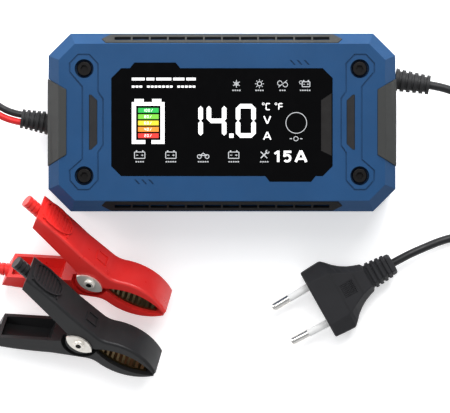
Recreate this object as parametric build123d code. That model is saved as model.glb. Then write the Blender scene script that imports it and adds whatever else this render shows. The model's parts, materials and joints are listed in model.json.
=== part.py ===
from build123d import *
import os
from math import atan2, cos, degrees, pi, radians, sin, sqrt, tan

# Car battery charger lying on its back. X runs along the case, Y across it, Z up.
# The origin is the middle of the back face, on the surface that the charger lies on.
# Millimetres. The mains cord leaves on the right, the two battery leads on the left.

# ---- case ----
CASE_LENGTH = 154.0
CASE_WIDTH = 79.0
CASE_HEIGHT = 42.0
CORNER_CUT = 9.9
FRONT_BEVEL = 4.8
BACK_CHAMFER = 3.0
WALL = 2.2
SEAM_Z = 21.0
LIP_WALL = 1.1
LIP_HEIGHT = 2.0
FIT = 0.1

# ---- window and display ----
WINDOW_MARGIN_X = 28.0
WINDOW_MARGIN_Y = 15.6
WINDOW_LENGTH = CASE_LENGTH - 2 * WINDOW_MARGIN_X
WINDOW_WIDTH = CASE_WIDTH - 2 * WINDOW_MARGIN_Y
WINDOW_CUT = 4.4
TAB_HEIGHT = 2.5
TAB_SLOPE = 2.0
TAB_LENGTH = 22.3
TOP_TAB_X = 19.4 - WINDOW_LENGTH / 2
BOTTOM_TAB_X = WINDOW_LENGTH / 2 - 18.7
LENS_THICKNESS = 1.4
LENS_LEDGE = 2.0
LCD_MARGIN_X = 5.0
LCD_MARGIN_Y = 3.4
LCD_LENGTH = WINDOW_LENGTH - 2 * LCD_MARGIN_X
LCD_WIDTH = WINDOW_WIDTH - 2 * LCD_MARGIN_Y
LCD_HEIGHT = 2.6
LCD_GAP = 0.6
DISPLAY_BOARD_LENGTH = LCD_LENGTH + 20.0
DISPLAY_BOARD_WIDTH = LCD_WIDTH + 5.0
DISPLAY_POST_D = 4.0
DISPLAY_POST_EDGE = 6.0
BOARD_THICKNESS = 1.6

# ---- case screws ----
SCREW_INSET_X = 16.0
SCREW_INSET_Y = 15.8
SCREW_X = CASE_LENGTH / 2 - SCREW_INSET_X
SCREW_Y = CASE_WIDTH / 2 - SCREW_INSET_Y
SCREW_HEAD_D = 6.6
SCREW_HEAD_HEIGHT = 3.0
SCREW_HEAD_ROOM = 0.9
SCREW_SHANK_D = 3.0
SCREW_TIP_ROOM = 1.0
SCREW_HOLE_FLOOR = 3.0
COUNTERBORE_D = SCREW_HEAD_D + 2 * SCREW_HEAD_ROOM
COUNTERBORE_DEPTH = 4.2
BOSS_WALL = 1.3
BOSS_D = COUNTERBORE_D + 2 * BOSS_WALL
HEX_KEY = 3.0
HEX_DEPTH = 1.6

# ---- front details ----
GROOVE_WIDTH = 0.7
GROOVE_DEPTH = 0.5
INLAY_LENGTH = 24.4
INLAY_WIDTH = 3.7
INLAY_INSET = 20.0
INLAY_X = CASE_LENGTH / 2 - INLAY_INSET
INLAY_DEPTH = 1.2
SLASH_X = WINDOW_LENGTH / 2 - 19.0
SLASH_PITCH = 3.1
SLASH_COUNT = 3
SLASH_WIDTH = 0.8
SLASH_HEIGHT = 2.0
SLASH_LEAN = 1.8
SLASH_GAP = 1.5

# ---- side grips ----
GRIP_OUTER = 19.2
GRIP_INNER = 14.4
GRIP_REACH = 8.1
GRIP_PROUD = 0.4
GRIP_DEPTH = 1.0
GRIP_BOTTOM = 7.0

# ---- vent strips on the front bevels, and the vents in the long walls ----
STRIP_TIP = CASE_LENGTH / 2 - 23.6
STRIP_INNER = STRIP_TIP - 4.1
STRIP_OUTER = STRIP_TIP - 1.9
STRIP_DEPTH = 1.2
STRIP_EDGE = 0.5
STRIP_SLOT_LENGTH = 2 * (STRIP_TIP - 5.4)
STRIP_SLOT_WIDTH = 2.0
STRIP_SLOT_COUNT = 12
STRIP_BAR = 0.8
VENT_COUNT = 9
VENT_PITCH = 3.6
VENT_WIDTH = 1.8
VENT_HEIGHT = 11.0

# ---- glands ----
GLAND_Z = SEAM_Z
GLAND_D = 10.4
GLAND_END_D = 8.6
GLAND_NECK_D = 8.0
GLAND_FLANGE_D = 12.0
GLAND_FLANGE = 1.5
GLAND_RIBS = 5
GLAND_RIB_DEPTH = 0.9
OUTPUT_GLAND_Y = 0.0
OUTPUT_GLAND_LENGTH = 12.5
OUTPUT_GLAND_TILT = -10.0
MAINS_GLAND_Y = 19.6
MAINS_GLAND_LENGTH = 15.6
MAINS_GLAND_TILT = -9.0

# ---- fan ----
FAN_SIZE = 35.0
FAN_DEPTH = 10.0
FAN_X = 27.0
FAN_GAP = 2.1
FAN_Y = WALL + FAN_GAP + FAN_DEPTH / 2 - CASE_WIDTH / 2
FAN_Z = CASE_HEIGHT / 2 - 0.6
FAN_WALL = 1.3
FAN_ARM = 1.2
FAN_BLADE_WIDTH = 8.4
FAN_BLADE_PITCH = 38.0
FAN_BLADE = 0.9
FAN_TIP_GAP = 0.7
FAN_HUB_D = 15.0
FAN_SHAFT_D = 2.0
FAN_BLADES = 7

# ---- main board ----
BOARD_MARGIN = 24.0
BOARD_LENGTH = CASE_LENGTH - 2 * BOARD_MARGIN
BOARD_FRONT_Y = CASE_WIDTH / 2 - 5.5
BOARD_BACK_Y = FAN_Y + FAN_DEPTH / 2 + 3.2
BOARD_Z = 9.0
STANDOFF_D = 6.0
BOARD_SCREW_D = 2.5
BOARD_SCREW_HEAD = 1.6
BOARD_SCREW_EDGE_X = 5.0
BOARD_SCREW_EDGE_Y = 4.0

# ---- what stands on the main board, from its middle line, its ends and its long edges ----
TRANSFORMER_X, TRANSFORMER_Y = -7.0, 4.0
TRANSFORMER_LENGTH, TRANSFORMER_WIDTH = 26.0, 24.0
TRANSFORMER_HEIGHT, TRANSFORMER_LIFT = 13.0, 4.0
TRANSFORMER_CORE_D, TRANSFORMER_CORE_HEIGHT = 19.0, 21.0
OUTPUT_CHOKE_X, OUTPUT_CHOKE_Y = 19.0 - BOARD_LENGTH / 2, BOARD_FRONT_Y - 16.0
OUTPUT_CHOKE_D, OUTPUT_CHOKE_BORE, OUTPUT_CHOKE_HEIGHT = 22.0, 10.0, 10.0
MAINS_CHOKE_X, MAINS_CHOKE_Y = BOARD_LENGTH / 2 - 15.0, BOARD_FRONT_Y - 27.0
MAINS_CHOKE_LENGTH, MAINS_CHOKE_WIDTH, MAINS_CHOKE_BASE = 16.0, 14.0, 4.0
MAINS_CHOKE_D, MAINS_CHOKE_HEIGHT = 13.0, 13.0
BULK_X, BULK_Y, BULK_D, BULK_HEIGHT = 20.0, 12.0, 16.0, 22.0
SMALL_X, SMALL_PITCH = 7.0 - BOARD_LENGTH / 2, 12.0
SMALL_Y, SMALL_D, SMALL_HEIGHT = -4.0, 10.0, 16.0
SINK_Y = BOARD_BACK_Y + 2.0
SINK_HEIGHT, SINK_PLATE, SINK_FIN, SINK_FIN_REACH = 22.0, 2.0, 1.2, 9.0
SINK_FIN_PITCH = 5.0
SINK_SPANS = ((-40.0, -12.0), (12.0, 44.0))
TRANSISTOR_PLACES = (-33.0, -19.0, 20.0, 34.0)
TRANSISTOR_WIDTH, TRANSISTOR_HEIGHT, TRANSISTOR_LIFT = 10.0, 15.0, 4.0
FUSE_X, FUSE_Y = 28.0, BOARD_FRONT_Y - 6.0
FUSE_D, FUSE_LENGTH, FUSE_LIFT = 5.2, 20.0, 4.0
FUSE_CLIP_GAP, FUSE_CLIP_LENGTH, FUSE_CLIP_WIDTH, FUSE_CLIP_HEIGHT = 12.0, 3.0, 6.0, 5.0
RIBBON_WIDTH, RIBBON_THICKNESS, RIBBON_Y = 16.0, 0.8, DISPLAY_BOARD_WIDTH / 2 - 1.1

# ---- cords ----
MAINS_D = 3.8
LEAD_D = 3.1
LEAD_PITCH = 3.4
MAINS_COIL = (148.0, -25.0)
MAINS_COIL_R = 21.0
MAINS_BUNDLE = 4
RED_COIL = (-144.0, -45.0)
BLACK_COIL = (-150.0, -92.0)
LEAD_COIL_R = 17.0
COIL_LAYERS = 2
LEAD_BUNDLE = 3
TIE_WIDTH = 7.0
TIE_THICKNESS = 0.7
TIE_ROOM = 0.55

# ---- mains plug, a flat two-pin one ----
PLUG_FACE = (43.4, -81.9)
PLUG_HEADING = 29.2
PLUG_WIDTH = 34.4
PLUG_THICKNESS = 13.7
PLUG_SHOULDER = 10.3
PLUG_NECK = 26.5
PLUG_NECK_WIDTH = 13.0
PLUG_CORNER = 1.5
PLUG_RIB_GROOVE, PLUG_RIB_DEPTH = 0.9, 1.2
PLUG_LENGTH = 39.0
PLUG_END_WIDTH = 10.6
PLUG_END_THICKNESS = 8.0
PLUG_RIBS = 5
PIN_SPACING = 18.6
PIN_TIP_SPACING = 17.5
PIN_D = 4.0
PIN_LENGTH = 19.0
SLEEVE_LENGTH = 10.0
SLEEVE_D = 3.6
PIN_ROOT = 5.0

# ---- battery clamps ----
CLAMP_WIDTH = 15.5
CLAMP_HEADING = -23.5
CLAMP_ROLL = 44.0
CLAMP_DIP = -7.0
RED_CLAMP = (19.2 - CASE_LENGTH / 2, -CASE_WIDTH / 2 - 26.7)
BLACK_CLAMP = (RED_CLAMP[0] - 4.6, RED_CLAMP[1] - 27.2)
CLAMP_TAIL = 34.5
CLAMP_TAIL_OUT = 24.6
CLAMP_TAIL_IN = 17.7
LEVER_SHOULDER = (-9.1, 13.6)
LEVER_SADDLE = (8.9, 6.6)
LEVER_ELBOW = (-12.6, 6.0)
CLAMP_JAW = 36.2
JAW_BULGE = 8.6
JAW_NOSE = 1.4
MOUTH_HEIGHT = 4.2
MOUTH_START = 7.4
LEVER_WALL = 1.8
LEVER_EDGE = 1.2
SHOULDER_ROUND = 14.0
SADDLE_ROUND = 9.0
TONGUE_WIDTH = 7.2
TONGUE_GAP = 0.3
PIVOT_D = 3.2
PIVOT_BOSS_D = 13.0
PIVOT_ROOM = 2.0
PLATE_LENGTH, PLATE_WIDTH, PLATE_THICKNESS = 13.5, 8.0, 0.8
RIVET_HEAD_D, RIVET_HEAD = 5.0, 0.9
STUB_D, STUB_LENGTH = 5.8, 7.6
LINER_ROOM = 2.3
LINER_WIDTH = CLAMP_WIDTH - 2 * LINER_ROOM
LINER_START, LINER_END = MOUTH_START + 2.1, CLAMP_JAW - 3.5
TOOTH_PITCH = 2.4
LINER_THICKNESS, TOOTH_HEIGHT = 0.9, 0.6
SPRING_WIRE, SPRING_TURNS = 1.0, 3
SPRING_LEG = 7.6
SPRING_UPPER_TURN, SPRING_LOWER_TURN = 14.0, -22.0
PAD_RIBS = 9
PAD_LENGTH = 15.0
PAD_START = 2.6
PAD_PROUD = 0.9
LEVER_GAP = 0.35

BEVEL_OFFSET = tan(radians(22.5))
os.makedirs("parts", exist_ok=True)


def save(name, shape):
    """Write one named piece, or a group of identical ones."""
    solids = shape.solids()
    shape = solids[0] if len(solids) == 1 else Compound(children=list(solids))
    export_step(shape, f"parts/{name}.step")


def prism(points, bottom, top):
    """A flat outline in plan, raised from bottom to top."""
    face = make_face(Polyline(*points, close=True))
    return Pos(0, 0, bottom) * extrude(face, top - bottom, dir=(0, 0, 1))


def block(x0, x1, y0, y1, z0, z1):
    """A box between two corners."""
    middle = ((x0 + x1) / 2, (y0 + y1) / 2, (z0 + z1) / 2)
    return Pos(*middle) * Box(x1 - x0, y1 - y0, z1 - z0)


def post(x, y, z0, z1, diameter):
    """An upright cylinder."""
    return Pos(x, y, (z0 + z1) / 2) * Cylinder(diameter / 2, z1 - z0)


def octagon(inset):
    """The plan outline of the case, moved inward."""
    half_x = CASE_LENGTH / 2 - inset
    half_y = CASE_WIDTH / 2 - inset
    cut = CORNER_CUT - (2 - sqrt(2)) * inset
    return [
        (half_x, half_y - cut), (half_x - cut, half_y),
        (cut - half_x, half_y), (-half_x, half_y - cut),
        (-half_x, cut - half_y), (cut - half_x, -half_y),
        (half_x - cut, -half_y), (half_x, cut - half_y),
    ]


def sloped(inset_low, z_low, inset_high, z_high):
    """The band of the case between two heights with different outlines."""
    low = Pos(0, 0, z_low) * make_face(Polyline(*octagon(inset_low), close=True))
    high = Pos(0, 0, z_high) * make_face(Polyline(*octagon(inset_high), close=True))
    return loft([low, high], ruled=True)


def case_body(inset):
    """The bevelled case as one solid, with every face moved inward."""
    back_top = BACK_CHAMFER + BEVEL_OFFSET * inset
    front_bottom = CASE_HEIGHT - FRONT_BEVEL - BEVEL_OFFSET * inset
    back = sloped(back_top, inset, inset, back_top)
    middle = prism(octagon(inset), back_top, front_bottom)
    front_inset = FRONT_BEVEL + BEVEL_OFFSET * inset
    front = sloped(inset, front_bottom, front_inset, CASE_HEIGHT - inset)
    return back + middle + front


def mirrored(points):
    """An outline mirrored left to right."""
    return [(-x, y) for x, y in reversed(points)]


def corners(x, y):
    """The four places that share a distance from both middle lines."""
    return [(x, y), (-x, y), (-x, -y), (x, -y)]


# ---- outlines on the front ----
def window_outline():
    """The window: a rectangle with cut corners and a tab above and below."""
    half_x, half_y = WINDOW_LENGTH / 2, WINDOW_WIDTH / 2
    top = [(-half_x, half_y - WINDOW_CUT), (WINDOW_CUT - half_x, half_y)]
    half_tab = TAB_LENGTH / 2
    for x, y in ((-half_tab, 0), (TAB_SLOPE - half_tab, TAB_HEIGHT)):
        top.append((TOP_TAB_X + x, half_y + y))
    for x, y in ((half_tab - TAB_SLOPE, TAB_HEIGHT), (half_tab, 0)):
        top.append((TOP_TAB_X + x, half_y + y))
    top += [(half_x - WINDOW_CUT, half_y), (half_x, half_y - WINDOW_CUT)]
    bottom = [(half_x, WINDOW_CUT - half_y), (half_x - WINDOW_CUT, -half_y)]
    for x, y in ((half_tab, 0), (half_tab - TAB_SLOPE, TAB_HEIGHT)):
        bottom.append((BOTTOM_TAB_X + x, -half_y - y))
    for x, y in ((TAB_SLOPE - half_tab, TAB_HEIGHT), (-half_tab, 0)):
        bottom.append((BOTTOM_TAB_X + x, -half_y - y))
    bottom += [(WINDOW_CUT - half_x, -half_y), (-half_x, WINDOW_CUT - half_y)]
    return top + bottom


def groove_outline():
    """The engraved line round the two screws and the inlay on the right side."""
    upper = [
        (SCREW_X + 2.7, SCREW_Y + 6.2), (SCREW_X - 2.3, SCREW_Y + 6.2),
        (SCREW_X - 6.1, SCREW_Y + 2.1), (SCREW_X - 6.1, SCREW_Y - 10.2),
        (SCREW_X - 8.3, SCREW_Y - 13.4),
    ]
    lower = [(x, -y) for x, y in reversed(upper)]
    inner = [
        (SCREW_X + 6.4, 2.3 - SCREW_Y), (SCREW_X + 0.8, 7.3 - SCREW_Y),
        (SCREW_X + 0.8, SCREW_Y - 8.1), (SCREW_X + 6.4, SCREW_Y - 1.5),
        (SCREW_X + 6.4, SCREW_Y + 2.3),
    ]
    outer = [(SCREW_X + 6.2, -SCREW_Y - 2.2)]
    return upper + lower + outer + inner


def groove(points):
    """A closed engraved line along an outline."""
    face = make_face(Polyline(*points, close=True))
    wide = offset(face, GROOVE_WIDTH / 2, kind=Kind.INTERSECTION)
    narrow = offset(face, -GROOVE_WIDTH / 2, kind=Kind.INTERSECTION)
    bottom = CASE_HEIGHT - GROOVE_DEPTH
    return Pos(0, 0, bottom) * extrude(wide - narrow, 2 * GROOVE_DEPTH, dir=(0, 0, 1))


def slashes():
    """The short diagonal cuts above and below the window."""
    cuts = []
    for number in range(SLASH_COUNT):
        x = SLASH_X + number * SLASH_PITCH
        low = WINDOW_WIDTH / 2 + SLASH_GAP
        points = [(x, low + SLASH_HEIGHT), (x + SLASH_WIDTH, low + SLASH_HEIGHT),
                  (x + SLASH_LEAN + SLASH_WIDTH, low), (x + SLASH_LEAN, low)]
        top = CASE_HEIGHT + GROOVE_DEPTH
        cuts.append(prism(points, CASE_HEIGHT - GROOVE_DEPTH, top))
        turned = [(-a, -b) for a, b in points]
        cuts.append(prism(turned, CASE_HEIGHT - GROOVE_DEPTH, top))
    return cuts


def inlay_outline():
    """The dark inlay beside the right grip, cut on its inner corners."""
    half = INLAY_LENGTH / 2
    inner, outer = INLAY_X - INLAY_WIDTH / 2, INLAY_X + INLAY_WIDTH / 2
    cut = INLAY_WIDTH * 0.7
    return [(outer, half), (outer - cut * 0.4, half), (inner, half - cut),
            (inner, cut - half), (outer - cut * 0.4, -half), (outer, -half)]


def grip_plan(extra):
    """The plan outline of the right grip, grown for its pocket."""
    inner = CASE_LENGTH / 2 - GRIP_REACH - extra
    outer = CASE_LENGTH / 2 + 5
    slope = (GRIP_OUTER - GRIP_INNER) / GRIP_REACH
    wide = GRIP_INNER + extra + slope * (outer - inner)
    return [(inner, GRIP_INNER + extra), (outer, wide),
            (outer, -wide), (inner, -GRIP_INNER - extra)]


# ---- vent strips ----
def strip_plane(side):
    """A plane on the front bevel of one long side, X along the case, Y down the slope."""
    y = side * (CASE_WIDTH / 2 - FRONT_BEVEL / 2)
    return Plane(origin=(0, y, CASE_HEIGHT - FRONT_BEVEL / 2), x_dir=(side, 0, 0),
                 z_dir=(0, side, 1))


def strip_outline(grow):
    """The strip: long, with a point at each end."""
    half = FRONT_BEVEL / sqrt(2) - STRIP_EDGE + grow
    return [(STRIP_INNER + grow, half), (STRIP_TIP + grow, -half * 0.1),
            (STRIP_OUTER + grow, -half), (-STRIP_OUTER - grow, -half),
            (-STRIP_TIP - grow, -half * 0.1), (-STRIP_INNER - grow, half)]


def on_bevel(side, points, bottom, top):
    """A prism standing on the bevel of one long side."""
    return strip_plane(side).location * prism(points, bottom, top)


def strip_slots(bottom, top):
    """The row of slots in a strip."""
    pitch = STRIP_SLOT_LENGTH / STRIP_SLOT_COUNT
    slots = []
    for number in range(STRIP_SLOT_COUNT):
        start = -STRIP_SLOT_LENGTH / 2 + number * pitch + STRIP_BAR / 2
        end = start + pitch - STRIP_BAR
        slots.append(block(start, end, -STRIP_SLOT_WIDTH / 2,
                           STRIP_SLOT_WIDTH / 2, bottom, top))
    return slots


def vent_slots(centre_x):
    """Upright slots through both long walls, in line with the fan."""
    slots = []
    for number in range(VENT_COUNT):
        x = centre_x + (number - (VENT_COUNT - 1) / 2) * VENT_PITCH
        low = SEAM_Z / 2 + 1 - VENT_HEIGHT / 2
        slots.append(block(x - VENT_WIDTH / 2, x + VENT_WIDTH / 2,
                           -CASE_WIDTH, CASE_WIDTH, low, low + VENT_HEIGHT))
    return slots


# ---- glands ----
def gland(length, tilt):
    """A ribbed strain relief along +X; its flange is inside the wall at X = 0."""
    flange = Pos(-WALL - GLAND_FLANGE / 2 - FIT, 0, 0) * Rot(0, 90, 0) * Cylinder(
        GLAND_FLANGE_D / 2, GLAND_FLANGE)
    neck_length = WALL + FIT + 0.5
    neck = Pos(-WALL - FIT + neck_length / 2, 0, 0) * Rot(0, 90, 0) * Cylinder(
        GLAND_NECK_D / 2, neck_length)
    points = [(0, 0), (0, GLAND_D / 2)]
    pitch = length / (GLAND_RIBS + 0.5)
    for number in range(GLAND_RIBS):
        share = (number + 1) / (GLAND_RIBS + 0.5)
        radius = GLAND_D / 2 + (GLAND_END_D - GLAND_D) / 2 * share
        start = number * pitch
        points += [(start + 0.55 * pitch, radius),
                   (start + 0.6 * pitch, radius - GLAND_RIB_DEPTH),
                   (start + 0.95 * pitch, radius - GLAND_RIB_DEPTH),
                   (start + pitch, radius - 0.05)]
    points += [(length, GLAND_END_D / 2), (length, 0)]
    boot = revolve(make_face(Polyline(*points, close=True)), Axis.X)
    boot = Pos(GRIP_PROUD + 0.2, 0, 0) * Rot(0, 0, tilt) * boot
    boot -= block(-30, GRIP_PROUD + 0.1, -20, 20, -20, 20)
    return flange + neck + boot


def gland_end(side, y, length, tilt):
    """The middle of a gland's outer end, and the direction that its cord leaves in."""
    turn = radians(tilt)
    reach = GRIP_PROUD + 0.2 + length * cos(turn)
    end = (side * (CASE_LENGTH / 2 + reach), y + side * length * sin(turn), GLAND_Z)
    return Vector(*end), Vector(side * cos(turn), side * sin(turn), 0)


# ---- cords ----
def corner_radii(points):
    """The largest arc that each corner of a route has room for."""
    radii = []
    for before, at, after in zip(points, points[1:], points[2:]):
        arrive, leave = Vector(*at) - Vector(*before), Vector(*after) - Vector(*at)
        half = radians(arrive.get_angle(leave)) / 2
        radii.append(0.45 * min(arrive.length, leave.length) / tan(half))
    return radii


def tube(name, points, diameter):
    """A round cord along straight runs joined by arcs."""
    points = [tuple(point) for point in points]
    radii = corner_radii(points)
    path = FilletPolyline(*points, radius=radii)
    start = Plane(origin=path @ 0, z_dir=path % 0)
    cord = sweep(start * Circle(diameter / 2), path)
    share = cord.volume / (pi * diameter ** 2 / 4 * path.length)
    print(f"{name}: length {path.length:.1f}, tightest {min(radii) / diameter:.1f} d, "
          f"volume share {share:.4f}")
    return cord


def coil(centre, radius, diameter, bundle):
    """The outer shape of a round coil lying on the surface."""
    half = bundle * diameter / 2
    height = COIL_LAYERS * diameter
    section = Pos(radius, height / 2) * RectangleRounded(
        2 * half, height, diameter * 0.45)
    ring = revolve(Plane.XZ * section, Axis.Z)
    return Pos(centre[0], centre[1], 0) * ring


def tie(centre, radius, diameter, bundle, bearing):
    """A strap over a coil, at one bearing round it."""
    half = bundle * diameter / 2 + TIE_ROOM
    height = COIL_LAYERS * diameter
    outer = block(radius - half - TIE_THICKNESS, radius + half + TIE_THICKNESS,
                  -TIE_WIDTH / 2, TIE_WIDTH / 2, 0, height + TIE_THICKNESS)
    inner = block(radius - half, radius + half, -TIE_WIDTH, TIE_WIDTH, -1, height)
    strap = fillet((outer - inner).edges().filter_by(Axis.Y).sort_by(Axis.Z)[-2:],
                   TIE_THICKNESS * 0.9)
    return Pos(centre[0], centre[1], 0) * Rot(0, 0, bearing) * strap


# ---- mains plug ----
def plug_plan():
    """Half of the plug's outline in plan: wide at the pins, narrow at the cord."""
    half = PLUG_WIDTH / 2
    waist = (PLUG_SHOULDER + PLUG_NECK) / 2 + 1.0
    side = [
        Line((0, -half + 0.8), (PLUG_SHOULDER, -half)),
        ThreePointArc((PLUG_SHOULDER, -half), (waist, -PLUG_NECK_WIDTH / 2 - 2.2),
                      (PLUG_NECK, -PLUG_NECK_WIDTH / 2)),
        Line((PLUG_NECK, -PLUG_NECK_WIDTH / 2), (PLUG_LENGTH, -PLUG_END_WIDTH / 2)),
    ]
    other = [mirror(edge, Plane.XZ) for edge in side]
    ends = [Line((0, half - 0.8), (0, -half + 0.8)),
            Line((PLUG_LENGTH, -PLUG_END_WIDTH / 2), (PLUG_LENGTH, PLUG_END_WIDTH / 2))]
    return make_face(side + other + ends)


def plug_body():
    """The moulded plug, lying flat, pins along -X, its cord leaving along +X."""
    middle = PLUG_THICKNESS / 2
    plan = extrude(plug_plan(), PLUG_THICKNESS, dir=(0, 0, 1))
    plan = fillet(plan.edges().filter_by(Axis.Z).sort_by(Axis.X)[:4], PLUG_CORNER)
    thin = PLUG_END_THICKNESS / 2
    side = [(0, 0), (PLUG_SHOULDER + 4, 0), (PLUG_NECK, middle - thin - 0.6),
            (PLUG_LENGTH, middle - thin), (PLUG_LENGTH, middle + thin),
            (PLUG_NECK, middle + thin + 0.6), (PLUG_SHOULDER + 4, PLUG_THICKNESS),
            (0, PLUG_THICKNESS)]
    profile = Plane.XZ * make_face(Polyline(*side, close=True))
    body = plan & extrude(profile, PLUG_WIDTH, both=True)
    pitch = (PLUG_LENGTH - PLUG_NECK) / (PLUG_RIBS + 0.5)
    for number in range(PLUG_RIBS):
        start = PLUG_NECK + (number + 0.6) * pitch
        end = start + PLUG_RIB_GROOVE
        half = PLUG_END_WIDTH / 2 - PLUG_RIB_DEPTH
        high = thin - PLUG_RIB_DEPTH
        ring = block(start, end, -PLUG_WIDTH, PLUG_WIDTH, -PLUG_THICKNESS, 2 * PLUG_THICKNESS)
        body -= ring - block(start, end, -half, half, middle - high, middle + high)
    for side_y in (-1, 1):
        hole = Pos(0, side_y * PIN_SPACING / 2, middle) * pin_turn(side_y)
        body -= hole * Pos(PIN_ROOT / 2 - 1, 0, 0) * Rot(0, 90, 0) * Cylinder(
            SLEEVE_D / 2, PIN_ROOT + 2)
    return body


def pin_turn(side_y):
    """The small lean of one pin towards the other."""
    lean = degrees((PIN_SPACING - PIN_TIP_SPACING) / 2 / PIN_LENGTH)
    return Rot(0, 0, side_y * lean)


def pin_pair(piece):
    """The same piece for both pins."""
    pair = []
    for side_y in (-1, 1):
        place = Pos(0, side_y * PIN_SPACING / 2, PLUG_THICKNESS / 2)
        pair.append(place * pin_turn(side_y) * piece)
    return pair[0] + pair[1]


def at_plug(piece):
    """Lay a piece of the plug where the plug lies."""
    return Pos(PLUG_FACE[0], PLUG_FACE[1], 0) * Rot(0, 0, PLUG_HEADING) * piece


# ---- battery clamps ----
# A clamp is drawn flat: X towards the jaws, Y towards the upper lever, Z along the pivot.
def jaw_radius():
    """The radius of the mouth's arc."""
    half = (CLAMP_JAW - MOUTH_START) / 2
    return (half ** 2 + MOUTH_HEIGHT ** 2) / (2 * MOUTH_HEIGHT)


def mouth_height(x):
    """How far the mouth's arc is above the middle line."""
    middle = (CLAMP_JAW + MOUTH_START) / 2
    radius = jaw_radius()
    return sqrt(radius ** 2 - (x - middle) ** 2) - radius + MOUTH_HEIGHT + LEVER_GAP


def lever_turn():
    """The slope of a lever's back, in degrees."""
    run, rise = CLAMP_TAIL + LEVER_SHOULDER[0], CLAMP_TAIL_OUT - LEVER_SHOULDER[1]
    return degrees(atan2(rise, run))


def lever_back(share, proud):
    """A point on the back of the upper lever, from its tail to its shoulder."""
    x = -CLAMP_TAIL + share * (CLAMP_TAIL + LEVER_SHOULDER[0])
    y = CLAMP_TAIL_OUT + share * (LEVER_SHOULDER[1] - CLAMP_TAIL_OUT)
    turn = radians(lever_turn())
    return x + proud * sin(turn), y + proud * cos(turn)


def lever_face():
    """The side outline of the upper lever."""
    tail_out = (-CLAMP_TAIL, CLAMP_TAIL_OUT)
    shoulder = LEVER_SHOULDER
    saddle = LEVER_SADDLE
    tip = (CLAMP_JAW, LEVER_GAP)
    corner = (-5.3, 1.7)
    mouth_middle = (CLAMP_JAW + MOUTH_START) / 2
    edges = [
        ThreePointArc(tail_out, lever_back(0.5, 0.5), shoulder),
        Line(shoulder, saddle),
        ThreePointArc(saddle, (mouth_middle + 0.7, JAW_BULGE), (CLAMP_JAW + 0.6, JAW_NOSE)),
        Line((CLAMP_JAW + 0.6, JAW_NOSE), tip),
        ThreePointArc(tip, (mouth_middle, MOUTH_HEIGHT + LEVER_GAP), (MOUTH_START, LEVER_GAP)),
        Line((MOUTH_START, LEVER_GAP), corner),
        Line(corner, LEVER_ELBOW),
        Line(LEVER_ELBOW, (-CLAMP_TAIL + 0.3, CLAMP_TAIL_IN)),
        Line((-CLAMP_TAIL + 0.3, CLAMP_TAIL_IN), tail_out),
    ]
    face = make_face(edges)
    for place, radius in ((shoulder, SHOULDER_ROUND), (saddle, SADDLE_ROUND)):
        nearest = face.vertices().sort_by_distance(Vector(*place, 0))[0]
        face = fillet([nearest], radius)
    return face


def on_back(edge):
    """Whether an edge of the upper lever runs along its back."""
    middle = edge.position_at(0.5)
    if abs(abs(middle.Z) - CLAMP_WIDTH / 2) > 0.01 or edge.length < 2:
        return False
    inside = max(0, -middle.X + LEVER_SHOULDER[0] / 2)
    return middle.Y > MOUTH_HEIGHT + 1.2 + inside * 0.62


def across(face, width):
    """A clamp outline made as wide as asked, centred on the clamp's middle."""
    return extrude(face, width / 2, both=True)


def pivot_drum(diameter, width):
    """A cylinder on the pivot axis."""
    return Cylinder(diameter / 2, width)


def lever_shell():
    """The lever as a moulded channel with its stub and thumb ribs, still without a pivot."""
    shell = across(lever_face(), CLAMP_WIDTH)
    shell = fillet([edge for edge in shell.edges() if on_back(edge)], LEVER_EDGE)
    pocket = [lever_back(0.08, -LEVER_WALL), lever_back(0.9, -LEVER_WALL),
              (-12, 2), (-CLAMP_TAIL + 2.4, 10)]
    pocket_face = make_face(Polyline(*pocket, close=True))
    shell -= across(pocket_face, CLAMP_WIDTH - 2 * LEVER_WALL)
    tail = Pos(-CLAMP_TAIL + 0.1, (CLAMP_TAIL_OUT + CLAMP_TAIL_IN) / 2, 0) * Rot(
        0, 0, -lever_turn())
    stub = Pos(-STUB_LENGTH / 2 + 1, 0, 0) * Rot(0, 90, 0) * Cylinder(
        STUB_D / 2, STUB_LENGTH + 2)
    for number in range(3):
        start = -STUB_LENGTH + 1.6 + number * 2.2
        ring = Pos(start + 0.4, 0, 0) * Rot(0, 90, 0) * (
            Cylinder(STUB_D, 0.8) - Cylinder(STUB_D / 2 - 0.6, 0.8))
        stub -= ring
    shell += tail * stub
    pitch = PAD_LENGTH / PAD_RIBS
    for number in range(PAD_RIBS):
        share = (PAD_START + number * pitch) / (CLAMP_TAIL + LEVER_SHOULDER[0])
        x, y = lever_back(share, PAD_PROUD - 0.6)
        rib = Pos(x, y, 0) * Rot(0, 0, -lever_turn()) * Box(
            pitch * 0.5, 1.2, CLAMP_WIDTH - 4.4)
        shell += rib
    return shell


def stub_end():
    """The middle of the upper stub's end, and its direction, in the flat clamp."""
    turn = radians(lever_turn())
    x = -CLAMP_TAIL + 0.1 - STUB_LENGTH * cos(turn)
    y = (CLAMP_TAIL_OUT + CLAMP_TAIL_IN) / 2 + STUB_LENGTH * sin(turn)
    return (x, y), (-cos(turn), sin(turn))


def upper_lever():
    """The lever that turns: two cheeks reach down beside the lower lever's tongue."""
    lever = lever_shell()
    lever -= pivot_drum(PIVOT_BOSS_D + 2 * PIVOT_ROOM, TONGUE_WIDTH + 2 * TONGUE_GAP)
    cheek = (CLAMP_WIDTH - TONGUE_WIDTH) / 2 - TONGUE_GAP
    for side in (-1, 1):
        place = Pos(0, 0, side * (CLAMP_WIDTH - cheek) / 2)
        lever += place * pivot_drum(PIVOT_BOSS_D, cheek)
    return lever - pivot_drum(PIVOT_D + 2 * FIT, 2 * CLAMP_WIDTH)


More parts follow.
